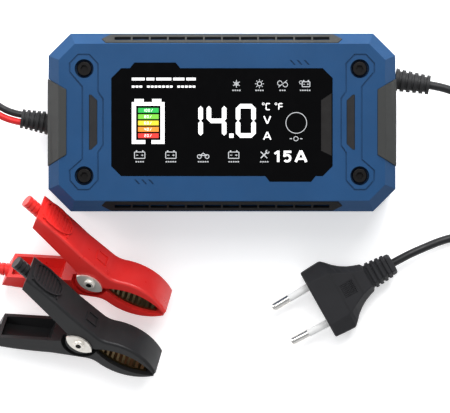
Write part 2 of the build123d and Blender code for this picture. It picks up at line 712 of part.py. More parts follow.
def lower_lever():
    """The lever that the lead is fixed to, with a tongue round the pivot."""
    lever = mirror(lever_shell(), Plane.XZ)
    room = pivot_drum(PIVOT_BOSS_D + 2 * PIVOT_ROOM, CLAMP_WIDTH + 2)
    lever -= room - pivot_drum(PIVOT_BOSS_D + 2 * PIVOT_ROOM + 2, TONGUE_WIDTH)
    tongue = pivot_drum(PIVOT_BOSS_D, TONGUE_WIDTH)
    tongue -= pivot_drum(PIVOT_BOSS_D + 1, SPRING_WIRE * (SPRING_TURNS + 1))
    lever += tongue
    lever -= pivot_drum(PIVOT_BOSS_D - 2, SPRING_WIRE * (SPRING_TURNS + 1))
    return lever - pivot_drum(PIVOT_D, 2 * CLAMP_WIDTH)


def jaw_liner():
    """The toothed metal strip of the upper jaw."""
    count = int((LINER_END - LINER_START) / TOOTH_PITCH)
    pitch = (LINER_END - LINER_START) / count
    points = []
    for number in range(count):
        x = LINER_START + number * pitch
        for share, drop in ((0.0, 0.0), (0.5, TOOTH_HEIGHT)):
            place = x + share * pitch
            points.append((place, mouth_height(place) - LINER_THICKNESS - drop))
    points.append((LINER_END, mouth_height(LINER_END) - LINER_THICKNESS))
    middle = (CLAMP_JAW + MOUTH_START) / 2
    for place in (LINER_END, middle, LINER_START):
        points.append((place, mouth_height(place) + LINER_THICKNESS))
    strip = across(make_face(Polyline(*points, close=True)), LINER_WIDTH)
    return strip - across(lever_face(), CLAMP_WIDTH)


def pivot_plates():
    """The two pointed oval plates under the rivet's heads."""
    bulge = PLATE_WIDTH / 2
    half = PLATE_LENGTH / 2
    face = make_face([ThreePointArc((-half, 0), (0, bulge), (half, 0)),
                      ThreePointArc((half, 0), (0, -bulge), (-half, 0))])
    plate = extrude(face, PLATE_THICKNESS, dir=(0, 0, 1)) - pivot_drum(PIVOT_D, 9)
    plate = Pos(0, 0, CLAMP_WIDTH / 2 + FIT) * Rot(0, 0, -10) * plate
    return plate + mirror(plate, Plane.XY)


def rivet():
    """The pivot: a pin with a domed head on each plate."""
    half = CLAMP_WIDTH / 2 + FIT + PLATE_THICKNESS
    pin = pivot_drum(PIVOT_D, 2 * half)
    head = Pos(0, 0, half + RIVET_HEAD / 2) * Cylinder(RIVET_HEAD_D / 2, RIVET_HEAD)
    head = fillet(head.edges().sort_by(Axis.Z)[-1:], RIVET_HEAD * 0.8)
    return pin + head + mirror(head, Plane.XY)


def spring():
    """The torsion spring round the rivet, with one leg for each lever."""
    radius = PIVOT_D / 2 + FIT + 0.3 + SPRING_WIRE / 2
    rings = None
    for number in range(SPRING_TURNS):
        z = (number - (SPRING_TURNS - 1) / 2) * SPRING_WIRE * 0.96
        ring = Pos(0, 0, z) * Torus(radius, SPRING_WIRE / 2)
        rings = ring if rings is None else rings + ring
    leg = Pos(-SPRING_LEG / 2, radius, 0) * Rot(0, 90, 0) * Cylinder(
        SPRING_WIRE / 2, SPRING_LEG)
    for side, turn in ((1, SPRING_UPPER_TURN), (-1, SPRING_LOWER_TURN)):
        z = side * SPRING_WIRE * 0.96 * (SPRING_TURNS - 1) / 2
        lie = leg if side < 0 else mirror(leg, Plane.XZ)
        rings += Pos(0, 0, z) * Rot(0, 0, -turn) * lie
    return rings


def clamp_axes():
    """The clamp's own X, Y and Z in the charger's frame."""
    heading, dip = radians(CLAMP_HEADING), radians(CLAMP_DIP)
    along = Vector(cos(heading) * cos(dip), sin(heading) * cos(dip), sin(dip))
    level = Vector(-sin(heading), cos(heading), 0)
    raised = along.cross(level)
    roll = radians(CLAMP_ROLL)
    return along, level * cos(roll) + raised * sin(roll)


def clamp_plane(centre, height):
    """Where a clamp lies: its pivot's middle and its axes."""
    along, towards_upper = clamp_axes()
    return Plane(origin=(centre[0], centre[1], height), x_dir=along,
                 z_dir=along.cross(towards_upper))


# ==== case ====
outside = case_body(0)
shell = outside - case_body(WALL)
far = CASE_LENGTH
above = block(-far, far, -far, far, SEAM_Z, CASE_HEIGHT + 5)
below = block(-far, far, -far, far, -5, SEAM_Z)
front_cover = shell & above
rear_cover = shell & below
lip = prism(octagon(WALL), SEAM_Z - LIP_HEIGHT, SEAM_Z) + prism(
    octagon(WALL + FIT), SEAM_Z, SEAM_Z + LIP_HEIGHT)
lip -= prism(octagon(WALL + LIP_WALL), SEAM_Z - 2 * LIP_HEIGHT, SEAM_Z + 2 * LIP_HEIGHT)
rear_cover += lip

gland_places = ((-1, OUTPUT_GLAND_Y), (1, MAINS_GLAND_Y))
for side, y in gland_places:
    neck = Pos(side * CASE_LENGTH / 2, y, GLAND_Z) * Rot(0, 90, 0)
    front_cover -= neck * Cylinder(GLAND_NECK_D / 2, 4 * WALL)
    rear_cover -= neck * Cylinder(GLAND_NECK_D / 2, 4 * WALL)
    inner = Pos(side * (CASE_LENGTH / 2 - WALL - 4), y, GLAND_Z) * Rot(0, 90, 0)
    rear_cover -= inner * Cylinder(GLAND_FLANGE_D / 2 + 1, 8)

seat_z = CASE_HEIGHT - COUNTERBORE_DEPTH
for x, y in corners(SCREW_X, SCREW_Y):
    front_cover += post(x, y, SEAM_Z, CASE_HEIGHT - WALL, BOSS_D)
    front_cover -= post(x, y, seat_z, CASE_HEIGHT + 1, COUNTERBORE_D)
    front_cover -= post(x, y, SEAM_Z - 1, CASE_HEIGHT, SCREW_SHANK_D + 2 * FIT)
    rear_cover += post(x, y, WALL / 2, SEAM_Z, BOSS_D - 1)
    rear_cover -= post(x, y, WALL + SCREW_HOLE_FLOOR, SEAM_Z + 1, SCREW_SHANK_D)

# ---- window, display ----
window_face = make_face(Polyline(*window_outline(), close=True))
lens_bottom = CASE_HEIGHT - LENS_THICKNESS - FIT
recess = Pos(0, 0, lens_bottom) * extrude(window_face, WALL, dir=(0, 0, 1))
ledge_face = offset(window_face, -LENS_LEDGE, kind=Kind.INTERSECTION)
sight = Pos(0, 0, CASE_HEIGHT - 2 * WALL) * extrude(ledge_face, 3 * WALL, dir=(0, 0, 1))
front_cover -= recess + sight
lens_face = offset(window_face, -FIT, kind=Kind.INTERSECTION)
save("display_window", Pos(0, 0, lens_bottom) * extrude(
    lens_face, LENS_THICKNESS, dir=(0, 0, 1)))

lcd_top = CASE_HEIGHT - WALL - LCD_GAP
lcd_bottom = lcd_top - LCD_HEIGHT
save("display_module", block(-LCD_LENGTH / 2, LCD_LENGTH / 2, -LCD_WIDTH / 2,
                             LCD_WIDTH / 2, lcd_bottom, lcd_top))
display_board = block(-DISPLAY_BOARD_LENGTH / 2, DISPLAY_BOARD_LENGTH / 2,
                      -DISPLAY_BOARD_WIDTH / 2, DISPLAY_BOARD_WIDTH / 2,
                      lcd_bottom - BOARD_THICKNESS, lcd_bottom)
post_x = (LCD_LENGTH + DISPLAY_BOARD_LENGTH) / 4
for x, y in corners(post_x, DISPLAY_BOARD_WIDTH / 2 - DISPLAY_POST_EDGE):
    front_cover += post(x, y, lcd_bottom, CASE_HEIGHT - WALL, DISPLAY_POST_D)
save("display_board", display_board)

# ---- engraved lines, slashes, inlays ----
for points in (groove_outline(), mirrored(groove_outline())):
    front_cover -= groove(points)
for cut in slashes():
    front_cover -= cut
inlays = None
for points in (inlay_outline(), mirrored(inlay_outline())):
    front_cover -= prism(points, CASE_HEIGHT - INLAY_DEPTH, CASE_HEIGHT + 1)
    inlay = prism(points, CASE_HEIGHT - INLAY_DEPTH, CASE_HEIGHT - 2 * FIT)
    inlays = inlay if inlays is None else inlays + inlay
save("accent_inlays", inlays)

# ---- side grips ----
grip_skin = case_body(-GRIP_PROUD) - case_body(GRIP_DEPTH)
pocket_skin = case_body(-GRIP_PROUD - 1) - case_body(GRIP_DEPTH)
for name, flip in (("right_grip", False), ("left_grip", True)):
    plans = [grip_plan(0), grip_plan(FIT)]
    if flip:
        plans = [mirrored(plan) for plan in plans]
    grip = grip_skin & prism(plans[0], GRIP_BOTTOM, CASE_HEIGHT + 5)
    pocket = pocket_skin & prism(plans[1], GRIP_BOTTOM - FIT, CASE_HEIGHT + 5)
    side, y = gland_places[0 if flip else 1]
    hole = Pos(side * CASE_LENGTH / 2, y, GLAND_Z) * Rot(0, 90, 0)
    grip -= hole * Cylinder(GLAND_D / 2 + 1.2, 20)
    front_cover -= pocket
    rear_cover -= pocket
    save(name, grip)

# ---- vent strips and vents ----
for name, side in (("top_vent_strip", 1), ("bottom_vent_strip", -1)):
    strip = on_bevel(side, strip_outline(-FIT), -STRIP_DEPTH, 2 * FIT)
    for slot in strip_slots(-STRIP_DEPTH - 1, 1):
        strip -= strip_plane(side).location * slot
    front_cover -= on_bevel(side, strip_outline(0), -STRIP_DEPTH, 3)
    for slot in strip_slots(-3 * WALL, 1):
        front_cover -= strip_plane(side).location * slot
    save(name, strip)
for slot in vent_slots(FAN_X):
    rear_cover -= slot

# ---- main board ----
board_screw_x = BOARD_LENGTH / 2 - BOARD_SCREW_EDGE_X
board_corners = [(x, y) for x in (board_screw_x, -board_screw_x)
                 for y in (BOARD_FRONT_Y - BOARD_SCREW_EDGE_Y, BOARD_BACK_Y + BOARD_SCREW_EDGE_Y)]
for x, y in board_corners:
    rear_cover += post(x, y, WALL / 2, BOARD_Z, STANDOFF_D)
    rear_cover -= post(x, y, WALL + 1, BOARD_Z + 1, BOARD_SCREW_D)
save("front_cover", front_cover)
save("rear_cover", rear_cover)

board = block(-BOARD_LENGTH / 2, BOARD_LENGTH / 2, BOARD_BACK_Y, BOARD_FRONT_Y,
              BOARD_Z, BOARD_Z + BOARD_THICKNESS)
board_top = BOARD_Z + BOARD_THICKNESS
board_screws = None
for x, y in board_corners:
    board -= post(x, y, 0, CASE_HEIGHT, BOARD_SCREW_D)
    screw = post(x, y, WALL + 2, board_top, BOARD_SCREW_D)
    screw += post(x, y, board_top, board_top + BOARD_SCREW_HEAD, 2 * BOARD_SCREW_D)
    board_screws = screw if board_screws is None else board_screws + screw
save("main_board", board)
save("board_screws", board_screws)

# ---- what stands on the main board ----
def stood(x, y, height, diameter, round_over=0.0):
    """An upright cylinder on the main board, with its top edge rounded if asked."""
    shape = post(x, y, board_top, board_top + height, diameter)
    if round_over:
        shape = fillet(shape.edges().sort_by(Axis.Z)[-1:], round_over)
    return shape


def on_board(x, y, length, width, bottom, height):
    """A block on the main board, centred in plan."""
    return block(x - length / 2, x + length / 2, y - width / 2, y + width / 2,
                 board_top + bottom, board_top + bottom + height)


def heat_sink(x0, x1):
    """An aluminium plate with fins, standing on the main board."""
    top = board_top + SINK_HEIGHT
    sink = block(x0, x1, SINK_Y, SINK_Y + SINK_PLATE, board_top, top)
    count = int((x1 - x0) / SINK_FIN_PITCH)
    first, last = x0 + SINK_FIN_PITCH / 5, x1 - SINK_FIN_PITCH / 5
    for number in range(count):
        x = first + number * (last - first) / (count - 1)
        sink += block(x - SINK_FIN / 2, x + SINK_FIN / 2, SINK_Y + SINK_PLATE / 2,
                      SINK_Y + SINK_FIN_REACH, board_top, top)
    return sink


transformer = on_board(TRANSFORMER_X, TRANSFORMER_Y, TRANSFORMER_LENGTH, TRANSFORMER_WIDTH,
                       TRANSFORMER_LIFT, TRANSFORMER_HEIGHT)
transformer += stood(TRANSFORMER_X, TRANSFORMER_Y, TRANSFORMER_CORE_HEIGHT, TRANSFORMER_CORE_D)
save("transformer", transformer)
toroid = stood(OUTPUT_CHOKE_X, OUTPUT_CHOKE_Y, OUTPUT_CHOKE_HEIGHT, OUTPUT_CHOKE_D)
toroid -= post(OUTPUT_CHOKE_X, OUTPUT_CHOKE_Y, 0, CASE_HEIGHT, OUTPUT_CHOKE_BORE)
save("output_choke", fillet(toroid.edges(), OUTPUT_CHOKE_HEIGHT / 5))
choke = on_board(MAINS_CHOKE_X, MAINS_CHOKE_Y, MAINS_CHOKE_LENGTH, MAINS_CHOKE_WIDTH,
                 0, MAINS_CHOKE_BASE)
choke += stood(MAINS_CHOKE_X, MAINS_CHOKE_Y, MAINS_CHOKE_HEIGHT, MAINS_CHOKE_D)
save("mains_choke", choke)
capacitors = stood(BULK_X, BULK_Y, BULK_HEIGHT, BULK_D, 1.2)
for number in range(2):
    capacitors += stood(SMALL_X + number * SMALL_PITCH, SMALL_Y, SMALL_HEIGHT, SMALL_D, 0.8)
save("capacitors", capacitors)
save("heat_sinks", heat_sink(*SINK_SPANS[0]) + heat_sink(*SINK_SPANS[1]))
transistors = None
for x in TRANSISTOR_PLACES:
    body = block(x - TRANSISTOR_WIDTH / 2, x + TRANSISTOR_WIDTH / 2, BOARD_BACK_Y, SINK_Y,
                 board_top + TRANSISTOR_LIFT, board_top + TRANSISTOR_LIFT + TRANSISTOR_HEIGHT)
    transistors = body if transistors is None else transistors + body
save("power_transistors", transistors)
fuse = Pos(FUSE_X, FUSE_Y, board_top + FUSE_LIFT) * Rot(0, 90, 0) * Cylinder(
    FUSE_D / 2, FUSE_LENGTH)
for side in (-1, 1):
    x = FUSE_X + side * (FUSE_CLIP_GAP + FUSE_CLIP_LENGTH) / 2
    fuse += on_board(x, FUSE_Y, FUSE_CLIP_LENGTH, FUSE_CLIP_WIDTH, 0, FUSE_CLIP_HEIGHT)
save("mains_fuse", fuse)
save("display_ribbon", block(-RIBBON_WIDTH / 2, RIBBON_WIDTH / 2,
                             RIBBON_Y - RIBBON_THICKNESS / 2, RIBBON_Y + RIBBON_THICKNESS / 2,
                             board_top, lcd_bottom - BOARD_THICKNESS))

# ---- fan ----
bore = FAN_SIZE - 2 * FAN_WALL
fan = Box(FAN_SIZE, FAN_SIZE, FAN_DEPTH) - Cylinder(bore / 2, FAN_DEPTH + 1)
arm_z = (FAN_ARM - FAN_DEPTH) / 2
hub = Pos(0, 0, arm_z) * Cylinder(FAN_HUB_D / 2, FAN_ARM)
for number in range(4):
    arm = Rot(0, 0, 45 + 90 * number) * Pos(FAN_SIZE / 4, 0, arm_z)
    hub += arm * Box(FAN_SIZE / 2, 2 * FAN_ARM, FAN_ARM) & Cylinder(bore / 2 + 1, FAN_DEPTH)
shaft = Pos(0, 0, 0.2) * Cylinder(FAN_SHAFT_D / 2, FAN_DEPTH - 1)
fan_place = Pos(FAN_X, FAN_Y, FAN_Z) * Rot(90, 0, 0)
save("fan_frame", fan_place * (fan + hub + shaft))
rotor_depth = FAN_DEPTH - FAN_ARM - 1.6
rotor_z = 0.9
rotor = Pos(0, 0, rotor_z) * Cylinder(FAN_HUB_D / 2, rotor_depth)
reach = bore / 2 - FAN_TIP_GAP
for number in range(FAN_BLADES):
    blade = Pos((FAN_HUB_D / 2 + reach) / 2 - 0.5, 0, rotor_z) * Rot(FAN_BLADE_PITCH, 0, 0)
    blade *= Box(reach - FAN_HUB_D / 2 + 1, FAN_BLADE_WIDTH, FAN_BLADE)
    rotor += Rot(0, 0, number * 360 / FAN_BLADES) * blade
rotor &= Pos(0, 0, rotor_z) * Cylinder(reach, rotor_depth)
rotor -= Cylinder(FAN_SHAFT_D / 2 + FIT, FAN_DEPTH * 2)
save("fan_rotor", fan_place * rotor)

# ---- case screws ----
screws = None
for x, y in corners(SCREW_X, SCREW_Y):
    screw = post(x, y, seat_z, seat_z + SCREW_HEAD_HEIGHT, SCREW_HEAD_D)
    screw = fillet(screw.edges().sort_by(Axis.Z)[-1:], 0.5)
    screw += post(x, y, WALL + SCREW_HOLE_FLOOR + SCREW_TIP_ROOM, seat_z, SCREW_SHANK_D)
    key = RegularPolygon(HEX_KEY / 2, 6, major_radius=False)
    key = extrude(key, HEX_DEPTH + 1, dir=(0, 0, 1))
    screw -= Pos(x, y, seat_z + SCREW_HEAD_HEIGHT - HEX_DEPTH) * key
    screws = screw if screws is None else screws + screw
save("case_screws", screws)

# ---- glands ----
output_gland = Pos(-CASE_LENGTH / 2, OUTPUT_GLAND_Y, GLAND_Z) * Rot(0, 0, 180) * gland(
    OUTPUT_GLAND_LENGTH, OUTPUT_GLAND_TILT)
save("output_gland", output_gland)
mains_gland = Pos(CASE_LENGTH / 2, MAINS_GLAND_Y, GLAND_Z) * gland(
    MAINS_GLAND_LENGTH, MAINS_GLAND_TILT)
save("mains_gland", mains_gland)

# ==== mains plug ====
save("plug_body", at_plug(plug_body()))
sleeve = Pos((PIN_ROOT - SLEEVE_LENGTH) / 2, 0, 0) * Rot(0, 90, 0) * Cylinder(
    SLEEVE_D / 2, SLEEVE_LENGTH + PIN_ROOT)
tip_length = PIN_LENGTH - SLEEVE_LENGTH
tip = Pos(-SLEEVE_LENGTH - tip_length / 2, 0, 0) * Rot(0, 90, 0) * Cylinder(
    PIN_D / 2, tip_length)
tip = fillet(tip.edges().sort_by(Axis.X)[:1], PIN_D * 0.42)
save("plug_pin_sleeves", at_plug(pin_pair(sleeve)))
save("plug_pins", at_plug(pin_pair(tip)))

# ==== battery clamps ====
pieces = {
    "lower_lever": lower_lever(), "upper_lever": upper_lever(),
    "lower_jaw": mirror(jaw_liner(), Plane.XZ), "upper_jaw": jaw_liner(),
    "pivot_plates": pivot_plates(), "rivet": rivet(), "spring": spring(),
}
flat = clamp_plane((0, 0), 0).location
drop = min((flat * piece).bounding_box().min.Z for piece in pieces.values())
clamp_height = -drop + 0.02
for colour, centre in (("red", RED_CLAMP), ("black", BLACK_CLAMP)):
    place = clamp_plane(centre, clamp_height).location
    for name, piece in pieces.items():
        save(f"{colour}_{name}", place * piece)


def clamp_lead_end(centre):
    """Where a lead meets its clamp's lower stub, and the direction away from it."""
    (x, y), (dx, dy) = stub_end()
    plane = clamp_plane(centre, clamp_height)
    end = plane.from_local_coords(Vector(x, -y, 0))
    ahead = plane.from_local_coords(Vector(x + dx, -y - dy, 0)) - end
    return end, ahead


# ==== cords ====
floor_mains, floor_lead = MAINS_D / 2, LEAD_D / 2
mains_out, mains_way = gland_end(1, MAINS_GLAND_Y, MAINS_GLAND_LENGTH, MAINS_GLAND_TILT)
mains_route = [
    mains_out, mains_out + mains_way * 8, (109.5, 11.6, 18.9), (118.5, 7.6, 14.2),
    (127.5, 5.0, 8.6), (137.0, 3.4, 4.2), (146.5, -1.0, floor_mains),
]
plug_turn = radians(PLUG_HEADING)
plug_end = Vector(PLUG_FACE[0] + PLUG_LENGTH * cos(plug_turn),
                  PLUG_FACE[1] + PLUG_LENGTH * sin(plug_turn), PLUG_THICKNESS / 2)
plug_way = Vector(cos(plug_turn), sin(plug_turn), 0)
plug_route = [
    plug_end, plug_end + plug_way * 7, (91.5, -56.0, 5.0), (101.0, -52.2, 2.9),
    (111.5, -50.2, 1.95), (122.5, -49.6, floor_mains), (133.5, -50.6, floor_mains),
    (144.0, -50.0, floor_mains),
]
output_out, output_way = gland_end(-1, OUTPUT_GLAND_Y, OUTPUT_GLAND_LENGTH,
                                   OUTPUT_GLAND_TILT)
across_way = Vector(-output_way.Y, output_way.X, 0) * (LEAD_PITCH / 2)
red_out, black_out = output_out + across_way, output_out - across_way
red_route = [
    red_out, red_out + output_way * 6, (-102.8, 5.4, 20.2), (-111.4, 9.4, 17.2),
    (-122.6, 11.4, 12.6), (-134.6, 9.8, 8.2), (-145.4, 3.8, 4.8), (-154.0, -5.2, 2.6),
    (-160.2, -16.2, 1.7), (-163.4, -28.4, floor_lead), (-162.8, -39.6, floor_lead),
    (-160.0, -49.0, floor_lead),
]
black_route = [
    black_out, black_out + output_way * 6, (-102.4, 9.4, 20.2), (-110.8, 14.4, 17.6),
    (-121.5, 18.0, 13.8), (-134.5, 18.2, 9.8), (-147.0, 13.6, 6.3), (-157.4, 5.0, 3.6),
    (-164.8, -6.6, 2.0), (-169.8, -20.6, floor_lead), (-172.2, -34.8, floor_lead),
    (-172.8, -49.2, floor_lead), (-172.4, -63.4, floor_lead),
    (-171.0, -77.0, floor_lead), (-167.6, -90.0, floor_lead),
]
red_end, red_ahead = clamp_lead_end(RED_CLAMP)
black_end, black_ahead = clamp_lead_end(BLACK_CLAMP)
red_return = [
    red_end, red_end + red_ahead * 6.5, (-118.0, -65.2, 3.4), (-125.6, -66.6, 2.2),
    (-133.0, -66.4, 1.6), (-140.5, -63.2, floor_lead), (-147.0, -59.4, floor_lead),
]
black_return = [
    black_end, black_end + black_ahead * 6.5, (-121.6, -94.2, 3.5), (-127.2, -99.4, 2.1),
    (-133.6, -104.8, floor_lead), (-140.0, -107.8, floor_lead), (-146.4, -108.6, floor_lead),
]
print("clamp height", round(clamp_height, 5), "red end", red_end, red_ahead,
      "black end", black_end)

mains_ring = coil(MAINS_COIL, MAINS_COIL_R, MAINS_D, MAINS_BUNDLE)
red_ring = coil(RED_COIL, LEAD_COIL_R, LEAD_D, LEAD_BUNDLE)
black_ring = coil(BLACK_COIL, LEAD_COIL_R, LEAD_D, LEAD_BUNDLE)
save("mains_cord", tube("mains_cord", mains_route, MAINS_D) - mains_ring)
save("mains_cord_plug_end", tube("mains_cord_plug_end", plug_route, MAINS_D) - mains_ring)
save("red_lead", tube("red_lead", red_route, LEAD_D) - red_ring)
save("black_lead", tube("black_lead", black_route, LEAD_D) - black_ring)
save("red_lead_clamp_end", tube("red_lead_clamp_end", red_return, LEAD_D) - red_ring)
save("black_lead_clamp_end", tube("black_lead_clamp_end", black_return, LEAD_D) - black_ring)
save("mains_cord_coil", mains_ring)
save("red_lead_coil", red_ring)
save("black_lead_coil", black_ring)
save("mains_cord_tie", tie(MAINS_COIL, MAINS_COIL_R, MAINS_D, MAINS_BUNDLE, -20))
save("red_lead_tie", tie(RED_COIL, LEAD_COIL_R, LEAD_D, LEAD_BUNDLE, 60))
save("black_lead_tie", tie(BLACK_COIL, LEAD_COIL_R, LEAD_D, LEAD_BUNDLE, 20))
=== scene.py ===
import json
from math import cos, pi, radians, sin

import bmesh
import bpy
from mathutils import Matrix, Vector


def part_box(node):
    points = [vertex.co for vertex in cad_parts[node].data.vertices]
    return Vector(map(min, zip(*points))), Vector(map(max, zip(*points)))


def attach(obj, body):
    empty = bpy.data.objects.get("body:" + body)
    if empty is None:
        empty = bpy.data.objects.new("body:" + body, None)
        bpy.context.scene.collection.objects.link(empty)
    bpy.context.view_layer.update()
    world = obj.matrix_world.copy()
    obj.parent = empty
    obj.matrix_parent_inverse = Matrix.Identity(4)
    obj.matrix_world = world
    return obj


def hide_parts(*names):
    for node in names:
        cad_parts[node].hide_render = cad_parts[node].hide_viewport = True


# A car battery charger lying on its back, seen from straight above. Metres.
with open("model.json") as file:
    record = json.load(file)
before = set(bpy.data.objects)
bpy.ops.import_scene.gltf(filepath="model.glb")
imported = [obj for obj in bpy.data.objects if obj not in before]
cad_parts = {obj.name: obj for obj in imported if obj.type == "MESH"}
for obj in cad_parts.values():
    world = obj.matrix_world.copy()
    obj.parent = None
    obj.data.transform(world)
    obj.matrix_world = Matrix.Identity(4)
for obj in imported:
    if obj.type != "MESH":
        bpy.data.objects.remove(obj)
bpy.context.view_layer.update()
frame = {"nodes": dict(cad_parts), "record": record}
nodes = frame["nodes"]
MM = 0.001

FACE_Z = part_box("front_cover")[1].z
window_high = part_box("display_window")[1]
GLASS_Z = window_high.z


# ---- materials ----
def new_material(name, colour, roughness, metallic=0.0, **sockets):
    """A principled material, and its nodes, links and shader."""
    material = bpy.data.materials.new(name)
    material.use_nodes = True
    tree = material.node_tree
    shader = tree.nodes["Principled BSDF"]
    shader.inputs["Base Color"].default_value = (*colour, 1)
    shader.inputs["Roughness"].default_value = roughness
    shader.inputs["Metallic"].default_value = metallic
    for socket, value in sockets.items():
        shader.inputs[socket.replace("_", " ")].default_value = value
    return material, tree, shader


def noise(tree, scale, detail=3.0, stretch=(1, 1, 1), roughness=0.55):
    """Noise in the object's own space."""
    place = tree.nodes.new("ShaderNodeTexCoord")
    mapping = tree.nodes.new("ShaderNodeMapping")
    mapping.inputs["Scale"].default_value = stretch
    texture = tree.nodes.new("ShaderNodeTexNoise")
    texture.inputs["Scale"].default_value = scale
    texture.inputs["Detail"].default_value = detail
    texture.inputs["Roughness"].default_value = roughness
    tree.links.new(place.outputs["Object"], mapping.inputs["Vector"])
    tree.links.new(mapping.outputs["Vector"], texture.inputs["Vector"])
    return texture.outputs["Fac"]


def spread(tree, value, low, high):
    """Noise turned into a range of values."""
    ramp = tree.nodes.new("ShaderNodeMapRange")
    ramp.inputs["From Min"].default_value = 0.3
    ramp.inputs["From Max"].default_value = 0.7
    ramp.inputs["To Min"].default_value = low
    ramp.inputs["To Max"].default_value = high
    tree.links.new(value, ramp.inputs["Value"])
    return ramp.outputs["Result"]


def tint(tree, shader, value, dark, light):
    """Base colour between two shades, by a texture."""
    ramp = tree.nodes.new("ShaderNodeValToRGB")
    ramp.color_ramp.elements[0].position = 0.3
    ramp.color_ramp.elements[0].color = (*dark, 1)
    ramp.color_ramp.elements[1].position = 0.7
    ramp.color_ramp.elements[1].color = (*light, 1)
    tree.links.new(value, ramp.inputs["Fac"])
    tree.links.new(ramp.outputs["Color"], shader.inputs["Base Color"])


def bump(tree, shader, value, distance, strength=1.0):
    """A bump from a texture, in metres."""
    node = tree.nodes.new("ShaderNodeBump")
    node.inputs["Distance"].default_value = distance
    node.inputs["Strength"].default_value = strength
    tree.links.new(value, node.inputs["Height"])
    tree.links.new(node.outputs["Normal"], shader.inputs["Normal"])


def shade(colour, share):
    """A colour made lighter or darker."""
    return tuple(min(1.0, part * share) for part in colour)


def plastic(name, colour, roughness=0.42, grain=0.00003, grain_scale=2600, **sockets):
    """Moulded plastic: a fine spark-eroded grain and a slow tint."""
    sockets.setdefault("Specular_IOR_Level", 0.35)
    material, tree, shader = new_material(name, colour, roughness, **sockets)
    tint(tree, shader, noise(tree, 38, 4), shade(colour, 0.92), shade(colour, 1.08))
    rough = spread(tree, noise(tree, 210, 3), roughness - 0.05, roughness + 0.07)
    tree.links.new(rough, shader.inputs["Roughness"])
    bump(tree, shader, noise(tree, grain_scale, 2), grain)
    return material


def metal(name, colour, roughness, stretch=(1, 1, 1), scratch=0.00001, metallic=1.0):
    """Plated or bare metal with fine wear."""
    material, tree, shader = new_material(name, colour, roughness, metallic)
    slow = noise(tree, 160, 5, stretch)
    tint(tree, shader, slow, shade(colour, 0.92), shade(colour, 1.05))
    rough = spread(tree, noise(tree, 420, 3, stretch), roughness - 0.04, roughness + 0.06)
    tree.links.new(rough, shader.inputs["Roughness"])
    bump(tree, shader, noise(tree, 1800, 3, stretch), scratch)
    return material


def lamp(name, colour, strength):
    """A lit part of the display, a little uneven."""
    material, tree, shader = new_material(name, shade(colour, 0.3), 0.3)
    shader.inputs["Emission Strength"].default_value = strength
    ramp = tree.nodes.new("ShaderNodeValToRGB")
    ramp.color_ramp.elements[0].color = (*shade(colour, 0.93), 1)
    ramp.color_ramp.elements[1].color = (*colour, 1)
    tree.links.new(noise(tree, 700, 2), ramp.inputs["Fac"])
    tree.links.new(ramp.outputs["Color"], shader.inputs["Emission Color"])
    return material


BLUE = (0.0112, 0.0505, 0.132)
CHARCOAL = (0.026, 0.027, 0.026)
BLACK = (0.008, 0.008, 0.009)
RED = (0.68, 0.022, 0.018)
blue_plastic = plastic("blue_plastic", BLUE, 0.36, 0.000022, 3000, Specular_IOR_Level=0.18)
charcoal_plastic = plastic("charcoal_plastic", CHARCOAL, 0.5, 0.00004, 1900)
black_plastic = plastic("black_plastic", BLACK, 0.4, 0.00003, 2400)
plug_black = plastic("plug_black", (0.024, 0.024, 0.026), 0.45, 0.00003, 2200,
                     Specular_IOR_Level=0.12)
red_plastic = plastic("red_plastic", RED, 0.32, 0.000015, 2000, Specular_IOR_Level=0.5)
clamp_black = plastic("clamp_black", (0.017, 0.017, 0.018), 0.36, 0.000015, 2000,
                      Specular_IOR_Level=0.22)
black_pvc = plastic("black_pvc", (0.01, 0.01, 0.011), 0.42, 0.00003, 1500)
red_pvc = plastic("red_pvc", (0.56, 0.014, 0.014), 0.38, 0.00003, 1500)
boot_rubber = plastic("boot_rubber", (0.014, 0.014, 0.015), 0.55, 0.00004, 1300)
white_plastic = plastic("white_plastic", (0.78, 0.78, 0.77), 0.35, 0.00001, 1800)
nickel = metal("nickel", (0.84, 0.8, 0.74), 0.36, (1, 1, 1), 0.000002, 0.6)
pin_nickel = metal("pin_nickel", (0.8, 0.78, 0.75), 0.2, (1, 1, 4), 0.000002)
# The jaw brass is painted far darker than brass: painted shade for the inside of the clamp's
# mouth.
brass_jaw_painted_shade = metal("brass_jaw_painted_shade", (0.12, 0.085, 0.035), 0.38, (1, 1, 1), 0.000004)
screw_black = metal("screw_black", (0.02, 0.019, 0.019), 0.4, (1, 1, 1), 0.000004)
steel = metal("steel", (0.6, 0.6, 0.6), 0.3)
aluminium = metal("aluminium", (0.78, 0.79, 0.8), 0.35, (1, 1, 20))
copper = metal("copper", (0.62, 0.28, 0.12), 0.35, (30, 30, 1))
board_green = plastic("board_green", (0.012, 0.12, 0.045), 0.3, 0.00001, 900)
ferrite = plastic("ferrite", (0.05, 0.05, 0.052), 0.7, 0.00008, 900)
sleeve_blue = plastic("sleeve_blue", (0.02, 0.03, 0.07), 0.3, 0.00001, 900)
strap_black = plastic("strap_black", (0.02, 0.02, 0.02), 0.7, 0.0001, 700)
# The bottom vent strip is painted near black, far darker than the top vent strip: painted shade
# on the shaded lower edge of the case.
strip_painted_shade = plastic("strip_painted_shade", (0.004, 0.004, 0.005), 0.5, 0.00003, 1900,
                      Specular_IOR_Level=0.15)
window_black = plastic("window_black", (0.001, 0.001, 0.0012), 0.12, 0.000001, 400,
                       Specular_IOR_Level=0.08)
fuse_glass, fuse_tree, fuse_shader = new_material("fuse_glass", (0.85, 0.9, 0.9), 0.08)
fuse_shader.inputs["Transmission Weight"].default_value = 0.8
tint(fuse_tree, fuse_shader, noise(fuse_tree, 300), (0.78, 0.84, 0.84), (0.9, 0.93, 0.93))

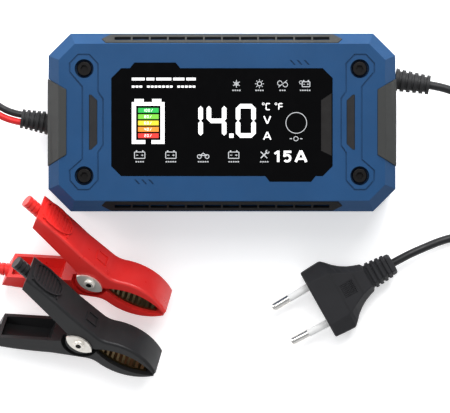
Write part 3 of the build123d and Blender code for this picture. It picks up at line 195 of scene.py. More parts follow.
FINISH = {
    "front_cover": blue_plastic, "rear_cover": blue_plastic,
    "display_window": window_black, "display_module": window_black,
    "display_board": board_green, "main_board": board_green,
    "accent_inlays": black_plastic, "right_grip": charcoal_plastic,
    "left_grip": charcoal_plastic, "top_vent_strip": charcoal_plastic,
    # the bottom vent strip gets the painted shade material
    "bottom_vent_strip": strip_painted_shade, "board_screws": steel, "transformer": ferrite,
    "output_choke": copper, "mains_choke": ferrite, "capacitors": sleeve_blue,
    "heat_sinks": aluminium, "power_transistors": black_plastic,
    "mains_fuse": fuse_glass, "display_ribbon": charcoal_plastic,
    "fan_frame": black_plastic, "fan_rotor": black_plastic, "case_screws": screw_black,
    "output_gland": boot_rubber, "mains_gland": boot_rubber, "plug_body": black_plastic,
    "plug_pin_sleeves": white_plastic, "plug_pins": pin_nickel,
    "mains_cord_tie": strap_black, "red_lead_tie": strap_black,
    "black_lead_tie": strap_black,
}
for colour, shell in (("red", red_plastic), ("black", clamp_black)):
    FINISH[f"{colour}_upper_lever"] = FINISH[f"{colour}_lower_lever"] = shell
    FINISH[f"{colour}_upper_jaw"] = FINISH[f"{colour}_lower_jaw"] = brass_jaw_painted_shade
    FINISH[f"{colour}_pivot_plates"] = FINISH[f"{colour}_rivet"] = nickel
    FINISH[f"{colour}_spring"] = steel


def paint(piece, material):
    """Give a piece one material."""
    piece.data.materials.clear()
    piece.data.materials.append(material)


def soften(piece, width, angle=28):
    """Round a piece's sharp edges a little."""
    weld = piece.modifiers.new("weld", "WELD")
    weld.merge_threshold = 0.000002
    bevel = piece.modifiers.new("bevel", "BEVEL")
    bevel.width = width
    bevel.segments = 2
    bevel.limit_method = "ANGLE"
    bevel.angle_limit = radians(angle)
    bevel.use_clamp_overlap = True


for name, material in FINISH.items():
    paint(nodes[name], material)


# ---- building new pieces ----
def piece_from(name, mesh_maker, material, body="root"):
    """A new piece from a function that fills a bmesh."""
    mesh = bpy.data.meshes.new(name)
    build = bmesh.new()
    mesh_maker(build)
    bmesh.ops.recalc_face_normals(build, faces=build.faces)
    build.to_mesh(mesh)
    build.free()
    piece = bpy.data.objects.new(name, mesh)
    bpy.context.scene.collection.objects.link(piece)
    paint(piece, material)
    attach(piece, body)
    return piece


def prism(build, low_places, high_places):
    """A closed solid between two matching outlines."""
    low = [build.verts.new(place) for place in low_places]
    high = [build.verts.new(place) for place in high_places]
    build.faces.new(low[::-1])
    build.faces.new(high)
    for at in range(len(low)):
        after = (at + 1) % len(low)
        build.faces.new((low[at], low[after], high[after], high[at]))


def raise_outline(build, points, bottom, top):
    """A prism from a flat outline, between two heights."""
    prism(build, [(x, y, bottom) for x, y in points], [(x, y, top) for x, y in points])


def join_rows(build, rows):
    """Faces between each closed row of points and the next."""
    for here, after in zip(rows, rows[1:]):
        for at in range(len(here)):
            follow = (at + 1) % len(here)
            build.faces.new((here[at], here[follow], after[follow], after[at]))


def stroke(build, ends, width, bottom, top):
    """A straight bar between two places."""
    (ax, ay), (bx, by) = ends
    way = Vector((bx - ax, by - ay)).normalized() * width / 2
    side = Vector((-way.y, way.x))
    points = [(ax + side.x, ay + side.y), (bx + side.x, by + side.y),
              (bx - side.x, by - side.y), (ax - side.x, ay - side.y)]
    raise_outline(build, points, bottom, top)


def ring(build, centre, radius, width, bottom, top, start=0, end=360, steps=40):
    """A flat ring or part of one."""
    full = end - start >= 360
    count = steps if full else steps + 1
    rows = []
    for step in range(count):
        angle = radians(start + (end - start) * step / steps)
        row = []
        for reach in (radius - width / 2, radius + width / 2):
            for z in (bottom, top):
                row.append(build.verts.new((centre[0] + reach * cos(angle),
                                            centre[1] + reach * sin(angle), z)))
        rows.append(row)
    for at in range(count if full else count - 1):
        here, after = rows[at], rows[(at + 1) % count]
        for a, b in ((0, 1), (1, 3), (3, 2), (2, 0)):
            build.faces.new((here[a], here[b], after[b], after[a]))
    if not full:
        for row in (rows[0], rows[-1]):
            build.faces.new((row[0], row[1], row[3], row[2]))


# ---- the display ----
# Its places are in millimetres from the middle of the case.
PRINT_LOW = GLASS_Z - 0.00002
PRINT_HIGH = GLASS_Z + 0.00004
OVERPRINT = 0.00004
READING_LOW, READING_HIGH, READING_STROKE = -6.9, 8.1, 2.05
LEVEL_LEFT, LEVEL_RIGHT = -37.1, -28.0
LEVEL_TOP, LEVEL_HEIGHT, LEVEL_PITCH = 6.3, 2.1, 2.8
LEVEL_TEXT_LEFT, LEVEL_TEXT_PITCH, LEVEL_TEXT_HALF = -34.4, 1.15, 0.65
KEY_X, KEY_Y, KEY_RADIUS = 32.9, -0.3, 4.6
UPPER_SIGNS = (6.4, 16.6, 26.8, 36.8)
UPPER_ROW, UPPER_CAPTION = 17.0, 14.1
LOWER_SIGNS = (-36.4, -22.6, -8.3, 5.2, 18.7)
LOWER_ROW, LOWER_CAPTION = -14.6, -17.5
HEADER_LEFT, HEADER_COUNT, HEADER_PITCH = -39.9, 17, 1.68
white_lamp = lamp("white_lamp", (1.0, 1.0, 1.0), 1.1)
dim_lamp = lamp("dim_lamp", (0.62, 0.64, 0.66), 0.8)
print_grey = plastic("print_grey", (0.42, 0.43, 0.44), 0.4, 0.0, 400)
smoke = plastic("smoke", (0.012, 0.011, 0.0105), 0.2, 0.000001, 400)
BAR_COLOURS = (
    ("green", (0.02, 0.5, 0.08)), ("lime", (0.2, 0.62, 0.05)), ("yellow", (0.85, 0.68, 0.03)),
    ("orange", (0.95, 0.3, 0.03)), ("red", (0.75, 0.04, 0.03)),
)
SEGMENTS = {
    "0": "abcdef", "1": "bc", "2": "abged", "4": "fgbc", "6": "afgedc", "8": "abcdefg",
    "C": "afed", "F": "afge",
}


def mm_outline(points):
    """An outline given in millimetres."""
    return [(x * MM, y * MM) for x, y in points]


def flat_box(build, x0, x1, y0, y1):
    """A printed rectangle, in millimetres."""
    points = mm_outline([(x0, y0), (x1, y0), (x1, y1), (x0, y1)])
    raise_outline(build, points, PRINT_LOW, PRINT_HIGH)


def bar(build, ax, ay, bx, by, width, lift=0.0):
    """A printed straight line, in millimetres, lifted where it lies on other print."""
    ends = mm_outline([(ax, ay), (bx, by)])
    stroke(build, ends, width * MM, PRINT_LOW + lift, PRINT_HIGH + lift)


def hoop(build, x, y, radius, width, start=0, end=360):
    """A printed circle or arc, in millimetres."""
    ring(build, (x * MM, y * MM), radius * MM, width * MM, PRINT_LOW, PRINT_HIGH, start, end)


def digit(build, character, left, right, bottom, top, width, lift=0.0):
    """One seven-segment figure with pointed segment ends."""
    half, gap, tip = width / 2, width * 0.2, width * 0.25
    x0, x1 = left + half, right - half
    y0, y2 = bottom + half, top - half
    y1 = (y0 + y2) / 2
    places = {"a": (x0, y2, x1, y2), "b": (x1, y1, x1, y2), "c": (x1, y0, x1, y1),
              "d": (x0, y0, x1, y0), "e": (x0, y0, x0, y1), "f": (x0, y1, x0, y2),
              "g": (x0, y1, x1, y1)}
    for name in SEGMENTS[character]:
        ax, ay, bx, by = places[name]
        if ay == by:
            ax, bx = ax + gap, bx - gap
            points = [(ax - tip, ay), (ax + tip, ay - half), (bx - tip, ay - half),
                      (bx + tip, ay), (bx - tip, ay + half), (ax + tip, ay + half)]
        else:
            ay, by = ay + gap, by - gap
            points = [(ax, ay - tip), (ax + half, ay + tip), (ax + half, by - tip),
                      (ax, by + tip), (ax - half, by - tip), (ax - half, ay + tip)]
        raise_outline(build, mm_outline(points), PRINT_LOW + lift, PRINT_HIGH + lift)


def reading(build):
    """The large figures."""
    for character, left, right in (("1", -16.6, -8.4), ("4", -6.8, 2.0), ("0", 6.1, 15.0)):
        digit(build, character, left, right, READING_LOW, READING_HIGH, READING_STROKE)
    flat_box(build, 3.25, 5.15, READING_LOW, READING_LOW + 1.9)


def units(build):
    """Degrees C and F, volts, amps, and the set current."""
    for x, character in ((19.3, "C"), (24.9, "F")):
        hoop(build, x - 1.0, 8.1, 0.45, 0.25)
        digit(build, character, x, x + 2.2, 5.3, 8.5, 0.5)
    bar(build, 18.6, 2.7, 20.0, -0.6, 0.6)
    bar(build, 21.5, 2.7, 20.1, -0.6, 0.6)
    bar(build, 18.5, -7.7, 20.0, -4.3, 0.6)
    bar(build, 21.6, -7.7, 20.1, -4.3, 0.6)
    bar(build, 19.1, -6.6, 21.0, -6.6, 0.5)
    bar(build, 24.9, -17.6, 24.9, -12.6, 1.1)
    bar(build, 23.3, -14.0, 24.9, -12.9, 0.9)
    bar(build, 27.3, -13.1, 30.7, -13.1, 1.0)
    bar(build, 27.9, -13.1, 27.6, -15.3, 1.0)
    hoop(build, 28.8, -15.9, 1.4, 1.0, -140, 125)
    bar(build, 32.6, -17.6, 34.9, -12.6, 1.15)
    bar(build, 37.3, -17.6, 35.0, -12.6, 1.15)
    bar(build, 33.4, -16.2, 36.5, -16.2, 0.9)


def battery_frame(build):
    """The outline of the battery round the level bars."""
    flat_box(build, -39.9, -38.0, -9.6, 8.9)
    flat_box(build, -27.2, -25.4, -9.6, 8.9)
    flat_box(build, -38.0, -27.2, 7.3, 8.9)
    flat_box(build, -38.0, -33.9, -9.6, -7.9)
    flat_box(build, -31.2, -27.2, -9.6, -7.9)
    flat_box(build, -38.7, -34.6, 8.9, 10.3)
    flat_box(build, -30.9, -26.8, 8.9, 10.3)


def touch_key(build):
    """The touch circle, and a small turning arrow under it."""
    hoop(build, KEY_X, KEY_Y, KEY_RADIUS, 0.28)
    hoop(build, 32.7, -7.3, 0.95, 0.28, 20, 320)
    bar(build, 33.5, -7.9, 33.9, -7.0, 0.3)
    bar(build, 30.0, -7.3, 31.0, -7.3, 0.4)
    bar(build, 34.6, -7.3, 35.6, -7.3, 0.4)


def car_battery(build, x, y, width, height):
    """A small battery sign."""
    for ax, ay, bx, by in ((-1, -1, 1, -1), (1, -1, 1, 1), (1, 1, -1, 1), (-1, 1, -1, -1)):
        bar(build, x + ax * width / 2, y + ay * height / 2,
            x + bx * width / 2, y + by * height / 2, 0.32)
    for side in (-1, 1):
        bar(build, x + side * width * 0.3, y + height / 2, x + side * width * 0.3,
            y + height / 2 + 0.7, 0.6)
        bar(build, x + side * width * 0.36, y, x + side * width * 0.14, y, 0.26)
    bar(build, x + width * 0.25, y - 0.35, x + width * 0.25, y + 0.35, 0.26)


def rays(build, x, y, count, start, end, width, first=0.0):
    """Short strokes round a place."""
    for number in range(count):
        angle = first + 2 * pi * number / count
        bar(build, x + start * cos(angle), y + start * sin(angle),
            x + end * cos(angle), y + end * sin(angle), width)


def upper_signs(build):
    """A snowflake, a sun, two crossed rings and a battery with a ring."""
    snow, sun, rings, battery = UPPER_SIGNS
    rays(build, snow, UPPER_ROW, 3, -1.7, 1.7, 0.28, pi / 2)
    hoop(build, snow, UPPER_ROW, 0.8, 0.22)
    hoop(build, sun, UPPER_ROW, 0.95, 0.35)
    rays(build, sun, UPPER_ROW, 8, 1.4, 1.95, 0.3)
    hoop(build, rings - 1.2, UPPER_ROW + 0.3, 1.0, 0.28, 0, 300)
    hoop(build, rings + 1.2, UPPER_ROW - 0.4, 1.0, 0.28, 180, 480)
    bar(build, rings - 1.8, UPPER_ROW - 1.5, rings + 2.0, UPPER_ROW + 1.5, 0.26)
    car_battery(build, battery + 0.4, UPPER_ROW - 0.2, 3.4, 2.2)
    hoop(build, battery - 1.8, UPPER_ROW + 0.6, 0.7, 0.24)


def lower_signs(build):
    """Three batteries, a motorcycle and crossed tools."""
    first, second, cycle, third, tools = LOWER_SIGNS
    for x in (first, second, third):
        car_battery(build, x, LOWER_ROW, 4.6, 2.8)
    for side in (-1.7, 1.7):
        hoop(build, cycle + side, LOWER_ROW - 0.6, 0.85, 0.32)
    bar(build, cycle - 1.6, LOWER_ROW - 0.3, cycle + 0.1, LOWER_ROW + 1.0, 0.34)
    bar(build, cycle, LOWER_ROW + 0.9, cycle + 1.7, LOWER_ROW - 0.3, 0.34)
    bar(build, cycle - 0.9, LOWER_ROW - 0.1, cycle + 1.1, LOWER_ROW - 0.1, 0.34)
    bar(build, tools - 1.5, LOWER_ROW - 1.3, tools + 1.3, LOWER_ROW + 1.5, 0.5)
    hoop(build, tools + 1.4, LOWER_ROW + 1.5, 0.7, 0.36, 100, 370)
    bar(build, tools - 1.5, LOWER_ROW + 1.5, tools + 1.3, LOWER_ROW - 1.3, 0.42)


def signs(build):
    """The rows of small signs above and below the reading."""
    upper_signs(build)
    lower_signs(build)


def captions(build):
    """Rows of dashes in the places where such a front has captions."""
    for places, y, counts in ((UPPER_SIGNS, UPPER_CAPTION, (4, 4, 3, 5)),
                              (LOWER_SIGNS, LOWER_CAPTION, (4, 5, 5, 5, 4))):
        for x, count in zip(places, counts):
            for number in range(count):
                start = x + number - count / 2 + 0.15
                flat_box(build, start, start + 0.7, y - 0.28, y + 0.28)


def header(build):
    """Two plain lines of dashes at the head of the display."""
    for start, end in ((HEADER_LEFT, -34.2), (-33.4, -29.9), (-29.1, -22.4), (-21.6, -16.6),
                       (-15.8, -11.6)):
        flat_box(build, start, end, 18.5, 19.7)
    for number in range(HEADER_COUNT):
        start = HEADER_LEFT + number * HEADER_PITCH
        if number not in (3, 11):
            flat_box(build, start, start + 1.25, 15.3, 16.2)


def level_numbers(build):
    """The percentages on the level bars."""
    for row, text in enumerate(("100", "80", "60", "40", "20")):
        middle = LEVEL_TOP - LEVEL_HEIGHT / 2 - row * LEVEL_PITCH
        start = LEVEL_TEXT_LEFT - (0.6 if len(text) == 3 else 0)
        for place, character in enumerate(text):
            left = start + place * LEVEL_TEXT_PITCH
            digit(build, character, left, left + 0.85, middle - LEVEL_TEXT_HALF,
                  middle + LEVEL_TEXT_HALF, 0.24, OVERPRINT)
        end = start + len(text) * LEVEL_TEXT_PITCH + 0.2
        bar(build, end, middle - 0.6, end + 0.7, middle + 0.6, 0.2, OVERPRINT)


def side_patch(build):
    """The smoked patch at the right end of the window."""
    right = window_high.x / MM - 0.4
    points = [(43.9, 9.7), (43.9, -12.6), (right, -14.8), (right, 12.8)]
    raise_outline(build, mm_outline(points), PRINT_LOW, PRINT_HIGH - 0.00003)


piece_from("display_reading", reading, white_lamp)
piece_from("display_units", units, white_lamp)
piece_from("display_battery_frame", battery_frame, white_lamp)
piece_from("display_touch_key", touch_key, dim_lamp)
piece_from("display_signs", signs, dim_lamp)
piece_from("display_captions", captions, print_grey)
piece_from("display_header", header, white_lamp)
piece_from("display_patch", side_patch, smoke)
for row, (name, colour) in enumerate(BAR_COLOURS):
    top = LEVEL_TOP - row * LEVEL_PITCH

    def level(build, top=top):
        """One level bar."""
        flat_box(build, LEVEL_LEFT, LEVEL_RIGHT, top - LEVEL_HEIGHT, top)

    piece_from(f"display_level_{name}", level, lamp(f"{name}_lamp", colour, 1.0))
piece_from("display_level_numbers", level_numbers, white_lamp)

# ---- cords, in millimetres ----
MAINS_D, LEAD_D = 3.8, 3.1
STEPS_PER_TURN = 16


def wound(centre, radius, diameter, bundle, start, direction, rise):
    """The turns of a put-away coil: inward on the floor, up a layer, then outward."""
    inward = bundle - 1
    total = 2 * inward + rise
    outer = radius + inward / 2 * diameter
    points = []
    for step in range(int(total * STEPS_PER_TURN) + 1):
        turn = step / STEPS_PER_TURN
        climb = min(max((turn - inward) / rise, 0), 1)
        drift = turn if turn < inward else max(inward, turn - rise)
        reach = outer - diameter * (inward - abs(inward - drift))
        angle = radians(start + direction * 360 * turn)
        points.append((centre[0] + reach * cos(angle), centre[1] + reach * sin(angle),
                       diameter * (0.5 + climb)))
    return points


def cord_piece(name, points, diameter, material):
    """A cord as one smooth line through its route."""
    curve = bpy.data.curves.new(name, "CURVE")
    curve.dimensions = "3D"
    spline = curve.splines.new("NURBS")
    spline.points.add(len(points) - 1)
    for point, place in zip(spline.points, points):
        point.co = (place[0] * MM, place[1] * MM, place[2] * MM, 1)
    spline.order_u = 3
    spline.use_endpoint_u = True
    spline.resolution_u = 6
    curve.bevel_depth = diameter * MM / 2
    curve.bevel_resolution = 5
    curve.use_fill_caps = True
    piece = bpy.data.objects.new(name, curve)
    bpy.context.scene.collection.objects.link(piece)
    curve.materials.append(material)
    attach(piece, "root")
    return piece


mains_start = [
    (93.0, 17.16, 21.0), (100.91, 15.91, 21.0), (109.5, 11.6, 18.9), (118.5, 7.6, 14.2),
    (127.5, 5.0, 8.6), (137.0, 3.4, 4.2),
]
mains_end = [
    (141.0, -52.5, 4.4), (132.5, -51.8, 2.5), (122.5, -50.0, 1.9), (111.5, -50.2, 1.95),
    (101.0, -52.2, 2.9), (91.5, -56.0, 5.0), (83.56, -59.46, 6.85), (77.45, -62.87, 6.85),
]
mains_turns = wound((148.0, -25.0), radius=21.0, diameter=MAINS_D, bundle=4, start=90,
                    direction=-1, rise=0.5)
red_start = [
    (-90.2, 0.5, 21.0), (-96.11, 1.54, 21.0), (-102.8, 5.4, 20.2), (-111.4, 9.4, 17.2),
    (-122.6, 11.4, 12.6), (-134.6, 9.8, 8.2), (-145.4, 3.8, 4.8), (-154.0, -5.2, 2.6),
    (-160.2, -16.2, 1.7), (-163.4, -28.4, 1.55),
]
red_end = [
    (-137.5, -65.7, 3.7), (-131.5, -66.5, 1.9), (-125.6, -66.6, 2.2), (-118.0, -65.2, 3.4),
    (-110.64, -64.21, 5.12), (-104.27, -64.95, 6.18),
]
red_turns = wound((-144.0, -45.0), radius=17.0, diameter=LEAD_D, bundle=3, start=180,
                  direction=1, rise=0.25)
black_start = [
    (-89.6, 3.85, 21.0), (-95.52, 4.89, 21.0), (-102.4, 9.4, 20.2), (-110.8, 14.4, 17.6),
    (-121.5, 18.0, 13.8), (-134.5, 18.2, 9.8), (-147.0, 13.6, 6.3), (-157.4, 5.0, 3.6),
    (-164.8, -6.6, 2.0), (-169.8, -20.6, 1.55), (-172.2, -34.8, 1.55),
    (-172.8, -49.2, 1.55), (-172.4, -63.4, 1.55), (-171.2, -77.0, 1.55),
]
black_end = [
    (-143.2, -112.3, 3.7), (-136.4, -108.9, 2.2), (-131.4, -104.0, 1.8), (-126.8, -98.8, 2.2),
    (-121.6, -94.2, 3.5), (-115.24, -91.41, 5.12), (-108.87, -92.15, 6.18),
]
black_turns = wound((-150.0, -92.0), radius=17.0, diameter=LEAD_D, bundle=3, start=180,
                    direction=1, rise=0.25)

mains_cord = cord_piece("mains_flex", mains_start + mains_turns + mains_end, MAINS_D,
                        black_pvc)
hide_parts("mains_cord", "mains_cord_coil", "mains_cord_plug_end")
red_cord = cord_piece("red_flex", red_start + red_turns + red_end, LEAD_D,
                      red_pvc)
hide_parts("red_lead", "red_lead_coil", "red_lead_clamp_end")
black_cord = cord_piece("black_flex", black_start + black_turns + black_end, LEAD_D,
                        black_pvc)
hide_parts("black_lead", "black_lead_coil", "black_lead_clamp_end")

# ---- mains plug, moulded, in millimetres along and across it ----
PLUG_PLACE = Matrix.Translation((0.0434, -0.0819, 0)) @ Matrix.Rotation(radians(29.2), 4, "Z")
plug_low, plug_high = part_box("plug_body")
PLUG_THICK = (plug_high.z - plug_low.z) / MM
PLUG_MIDDLE = (plug_high.z + plug_low.z) / 2 / MM
PLUG_LENGTH = 39.0
RIB_START, RIB_END, RIB_COUNT = 26.4, 36.2, 4
NECK_HALF, NECK_THICK, NECK_TAPER = 6.2, 9.6, 0.22
RIB_PROFILE = ((0.0, 0.75), (0.26, 0.75), (0.36, 0.2), (0.46, 0.0), (0.9, 0.0), (1.0, 0.3))
KNURL_START, KNURL_SIDE, KNURL_COUNT, KNURL_HEIGHT = 12.4, 6.6, 8, 0.34
KNURL_BREAK = 15.5


def on_plug_top(u, v, proud):
    """A place over the plug's top."""
    return PLUG_PLACE @ Vector((u * MM, v * MM, plug_high.z + proud * MM))


def plug_section(u, half, crown, thick):
    """The plug's outline across its length: a flat top and bottom and a facet each side."""
    high = thick / 2
    edge = high * 0.42
    right = [(half, 0.0), (half, edge * 0.6), (half - 0.35, edge), (crown + 0.5, high - 0.25),
             (crown, high), (crown * 0.5, high), (0.0, high)]
    upper = right + [(-v, z) for v, z in reversed(right[:-1])]
    lower = [(v, -z) for v, z in reversed(upper[1:-1])]
    return [PLUG_PLACE @ Vector((u * MM, v * MM, (PLUG_MIDDLE + z) * MM))
            for v, z in upper + lower]


def plug_stations():
    """The plug's sections: place along it, half width, half width of the top, thickness."""
    thick = PLUG_THICK
    stations = [(0.0, 16.0, 10.2, thick - 1.2), (0.35, 16.5, 10.4, thick - 0.4),
                (1.0, 16.6, 10.4, thick), (5.0, 16.9, 10.3, thick), (9.6, 17.1, 10.2, thick),
                (10.5, 16.8, 10.1, thick), (12.2, 15.2, 9.4, thick - 0.1),
                (14.4, 12.8, 8.2, thick - 0.3), (17.0, 10.7, 6.8, thick - 0.7),
                (20.0, 8.9, 5.4, thick - 1.3), (23.0, 7.7, 4.5, thick - 2.1),
                (25.4, 6.9, 4.1, thick - 3.0)]
    step = (RIB_END - RIB_START) / RIB_COUNT
    for number in range(RIB_COUNT):
        drop = number * NECK_TAPER
        for along, shrink in RIB_PROFILE:
            half = NECK_HALF - drop - shrink
            stations.append((RIB_START + (number + along) * step, half, half * 0.55,
                             NECK_THICK - drop - 2 * shrink))
    return stations + [
        (RIB_END + 0.3, 4.6, 2.7, 7.4), (RIB_END + 0.5, 5.0, 3.0, 8.2),
        (PLUG_LENGTH - 0.7, 4.9, 3.0, 8.0), (PLUG_LENGTH - 0.15, 4.4, 2.5, 7.2),
        (PLUG_LENGTH, 3.9, 2.1, 6.4),
    ]


def plug_shape(build):
    """The plug's skin: wide and faceted at the pins, drawn in to a ribbed neck."""
    rows = [[build.verts.new(place) for place in plug_section(*station)]
            for station in plug_stations()]
    join_rows(build, rows)
    build.faces.new(rows[0])
    build.faces.new(rows[-1][::-1])


def plug_groove_shade(build):
    """Dark strips across the plug's top: painted shade in its moulded lines."""
    for u, half, low, high in ((11.0, 10.0, -0.3, 0.02), (20.1, 5.0, -1.5, -0.62)):
        corners = [(u, -half), (u + 0.5, -half), (u + 0.5, half), (u, half)]
        prism(build, [on_plug_top(*corner, low) for corner in corners],
              [on_plug_top(*corner, high) for corner in corners])


def plug_knurl(build):
    """The diamond grip patch between the lines."""
    pitch = KNURL_SIDE / KNURL_COUNT
    reach = pitch / 2
    for row in range(KNURL_COUNT):
        for column in range(KNURL_COUNT):
            u = KNURL_START + (row + 0.5) * pitch
            v = (column + 0.5) * pitch - KNURL_SIDE / 2
            sink = -0.2 if u > KNURL_BREAK else -0.04
            low = [build.verts.new(on_plug_top(a, b, sink))
                   for a, b in ((u - reach, v), (u, v - reach), (u + reach, v), (u, v + reach))]
            tip = build.verts.new(on_plug_top(u, v, sink + KNURL_HEIGHT))
            build.faces.new(low[::-1])
            for at in range(4):
                build.faces.new((low[at], low[(at + 1) % 4], tip))


moulded_plug = piece_from("moulded_plug", plug_shape, plug_black)
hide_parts("plug_body")
plug_details = [piece_from("plug_groove_shade", plug_groove_shade, black_plastic),
                piece_from("plug_knurl", plug_knurl, plug_black)]

# ---- clamps: moulded and rolled details, in millimetres from the rivet ----
CLAMP_HEADING, CLAMP_DIP = radians(-23.5), radians(-7.0)
CLAMP_ALONG = Vector((cos(CLAMP_HEADING) * cos(CLAMP_DIP), sin(CLAMP_HEADING) * cos(CLAMP_DIP),
                      sin(CLAMP_DIP)))
LEVER_TAIL, LEVER_SHOULDER, LEVER_SADDLE = (-34.5, 24.6), (-9.1, 13.6), (8.9, 6.6)
BACK_LENGTH, BACK_BOW = 27.7, 0.5
RIM_MIDDLE, RIM_HALF_LENGTH, RIM_HALF_WIDTH, RIM_THICK = 10.2, 8.6, 6.3, 0.75
RIM_SQUARENESS, RIM_TAPER, RIM_STEPS = 0.6, 0.4, 48
RIM_LOW, RIM_HIGH = -0.4, 1.0
EMBLEM_MIDDLE, EMBLEM_LENGTH, EMBLEM_WIDTH, EMBLEM_LINE = 10.6, 6.2, 5.4, 0.5
EMBLEM_LOW, EMBLEM_HIGH = -0.3, 0.55
RIVET_TOP = 9.55
EYELET_OUT, EYELET_IN, EYELET_LOW, EYELET_HIGH = 2.1, 1.3, -0.25, 0.3
CIRCLE_STEPS = 40


def clamp_places():
    """Each clamp's pivot and directions, from its joint."""
    places = {}
    for joint in frame["record"]["behaviour"]["joints"]:
        if joint["name"].endswith("_clamp_open"):
            across = Vector(joint["axis"]).normalized()
            turned = Matrix((CLAMP_ALONG, across.cross(CLAMP_ALONG), across)).transposed()
            places[joint["name"].split("_")[0]] = (
                Matrix.Translation(joint["pos_m"]) @ turned.to_4x4())
    return places


def on_slope(place, start, end, along, side, proud):
    """A place on a lever's back, by how far along it, across it and above it."""
    way = (Vector(end) - Vector(start)).normalized()
    spot = Vector(start) + way * along + Vector((-way.y, way.x)) * proud
    return place @ Vector((spot.x * MM, spot.y * MM, side * MM))


def band(build, lay, outer, inner, low, high):
    """A raised band between two outlines, where lay gives a point its place."""
    rows = [[build.verts.new(lay(*spot, height)) for spot in outline]
            for outline, height in ((outer, low), (outer, high), (inner, high), (inner, low))]
    join_rows(build, rows + rows[:1])


def squared(value):
    """A sine or cosine pushed outward, which squares off an ellipse."""
    return abs(value) ** RIM_SQUARENESS * (1 if value > 0 else -1)


def thumb_outline(shrink):
    """The outline of the thumb pad, along and across, narrower towards the jaw."""
    spots = []
    for step in range(RIM_STEPS):
        turn = 2 * pi * step / RIM_STEPS
        reach = squared(cos(turn))
        taper = 1 - RIM_TAPER * max(0, reach) ** 1.5
        spots.append((RIM_MIDDLE + (RIM_HALF_LENGTH - shrink) * reach,
                      (RIM_HALF_WIDTH - shrink) * squared(sin(turn)) * taper))
    return spots


def emblem_outline(shrink):
    """The outline of the plain rectangle on the lever's neck."""
    half, wide = EMBLEM_LENGTH / 2 - shrink, EMBLEM_WIDTH / 2 - shrink
    return [(EMBLEM_MIDDLE + a * half, b * wide) for a, b in ((-1, -1), (1, -1), (1, 1), (-1, 1))]


def circle(radius):
    """A circle's points round the pivot."""
    turns = [2 * pi * step / CIRCLE_STEPS for step in range(CIRCLE_STEPS)]
    return [(radius * cos(turn), radius * sin(turn)) for turn in turns]


def clamp_details(colour, place, shell):
    """The rim, emblem and eyelet of one clamp, and a disc of painted shade in the eyelet."""
    def on_back(along, side, proud):
        share = along / BACK_LENGTH
        lifted = proud + BACK_BOW * 4 * share * (1 - share)
        return on_slope(place, LEVER_TAIL, LEVER_SHOULDER, along, side, lifted)

    def on_neck(along, side, proud):
        return on_slope(place, LEVER_SHOULDER, LEVER_SADDLE, along, side, proud)

    def on_head(x, y, height):
        return place @ Vector((x * MM, y * MM, (RIVET_TOP + height) * MM))

    def rim(build):
        band(build, on_back, thumb_outline(0.0), thumb_outline(RIM_THICK), RIM_LOW, RIM_HIGH)

    def emblem(build):
        band(build, on_neck, emblem_outline(0.0), emblem_outline(EMBLEM_LINE),
             EMBLEM_LOW, EMBLEM_HIGH)

    def eyelet(build):
        band(build, on_head, circle(EYELET_OUT), circle(EYELET_IN), EYELET_LOW, EYELET_HIGH)

    # A flat dark disc in the eyelet: painted shade for the hollow of the rivet.
    def hole_shade_disc(build):
        prism(build, [on_head(x, y, -0.02) for x, y in circle(EYELET_IN)],
              [on_head(x, y, 0.03) for x, y in circle(EYELET_IN)])

    upper = f"{colour}_clamp_upper"
    return [piece_from(f"{colour}_thumb_rim", rim, shell, upper),
            piece_from(f"{colour}_emblem", emblem, shell, upper),
            piece_from(f"{colour}_eyelet", eyelet, nickel),
            piece_from(f"{colour}_eyelet_hole_shade_disc", hole_shade_disc, screw_black)]


places = clamp_places()
clamp_pieces = {
    "red": clamp_details("red", places["red"], red_plastic),
    "black": clamp_details("black", places["black"], clamp_black),
}

# ---- each lead's clamp pieces, listed but not used further ----
for colour, cord, start in (("red", red_cord, red_start), ("black", black_cord, black_start)):
    names = ["lower_lever", "upper_lever", "lower_jaw", "upper_jaw", "pivot_plates", "rivet",
             "spring", "lead_tie"]
    pieces = [f"{colour}_{name}" for name in names] + clamp_pieces[colour]
    if colour == "red":
        pieces.append("output_gland")

# ---- soft edges on the rigid pieces ----
EDGE_WIDTHS = {
    "front_cover": 0.00025, "rear_cover": 0.0003, "left_grip": 0.0003, "right_grip": 0.0003,
    "accent_inlays": 0.0002, "top_vent_strip": 0.00012, "bottom_vent_strip": 0.00012,
}
for name, width in EDGE_WIDTHS.items():
    soften(nodes[name], width)

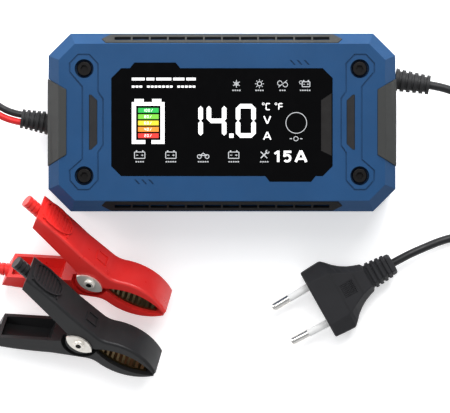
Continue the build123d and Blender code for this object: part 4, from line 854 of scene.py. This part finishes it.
# ---- stage, light, camera ----
FLOOR_REACH = 3.0
FLOOR_GLOW = 0.42
STUDIO_LIGHT = 0.42
floor_mesh = bpy.data.meshes.new("floor")
floor_corners = [(x * FLOOR_REACH, y * FLOOR_REACH, 0)
                 for x, y in ((-1, -1), (1, -1), (1, 1), (-1, 1))]
floor_mesh.from_pydata(floor_corners, [], [(0, 1, 2, 3)])
floor = bpy.data.objects.new("floor", floor_mesh)
bpy.context.scene.collection.objects.link(floor)
floor_material, _, floor_shader = new_material("floor_white", (0.9, 0.9, 0.9), 0.9)
floor_shader.inputs["Emission Color"].default_value = (1, 1, 1, 1)
floor_shader.inputs["Emission Strength"].default_value = FLOOR_GLOW
floor_shader.inputs["Specular IOR Level"].default_value = 0.0
floor_mesh.materials.append(floor_material)


def area_light(name, place, aim, size, power, glare=True):
    """A soft square light, which may be kept out of reflections."""
    light = bpy.data.lights.new(name, "AREA")
    light.size = size
    light.energy = power
    lamp_object = bpy.data.objects.new(name, light)
    bpy.context.scene.collection.objects.link(lamp_object)
    lamp_object.location = place
    lamp_object.visible_glossy = glare
    lamp_object.rotation_euler = (Vector(aim) - Vector(place)).to_track_quat(
        "-Z", "Y").to_euler()


AIM = (0.0, -0.03, 0.0)
area_light("key", (0.35, 0.85, 0.95), AIM, 0.6, 11)
area_light("rim", (0.15, 1.25, 0.3), AIM, 0.5, 28, glare=False)
area_light("top", (-0.1, 0.5, 1.2), AIM, 0.45, 3.5)
area_light("side", (-1.0, 0.15, 0.6), AIM, 0.7, 6)
area_light("front", (0.2, -1.0, 0.55), AIM, 0.8, 0.8)
world = bpy.data.worlds.new("studio")
world.use_nodes = True
background = world.node_tree.nodes["Background"]
background.inputs["Color"].default_value = (0.95, 0.97, 1.0, 1)
background.inputs["Strength"].default_value = STUDIO_LIGHT
bpy.context.scene.world = world
bpy.context.scene.view_settings.view_transform = "Standard"

VIEW_X, VIEW_Y = 0.00135, -0.0373
VIEW_WIDTH = 0.1991
CAMERA_HEIGHT = 1.5
SENSOR = 36.0
camera_data = bpy.data.cameras.new("camera")
camera = bpy.data.objects.new("camera", camera_data)
bpy.context.scene.collection.objects.link(camera)
camera.location = (VIEW_X, VIEW_Y, FACE_Z + CAMERA_HEIGHT)
camera_data.sensor_width = SENSOR
camera_data.lens = SENSOR * CAMERA_HEIGHT / VIEW_WIDTH
camera_data.clip_start = 0.01
bpy.context.scene.camera = camera
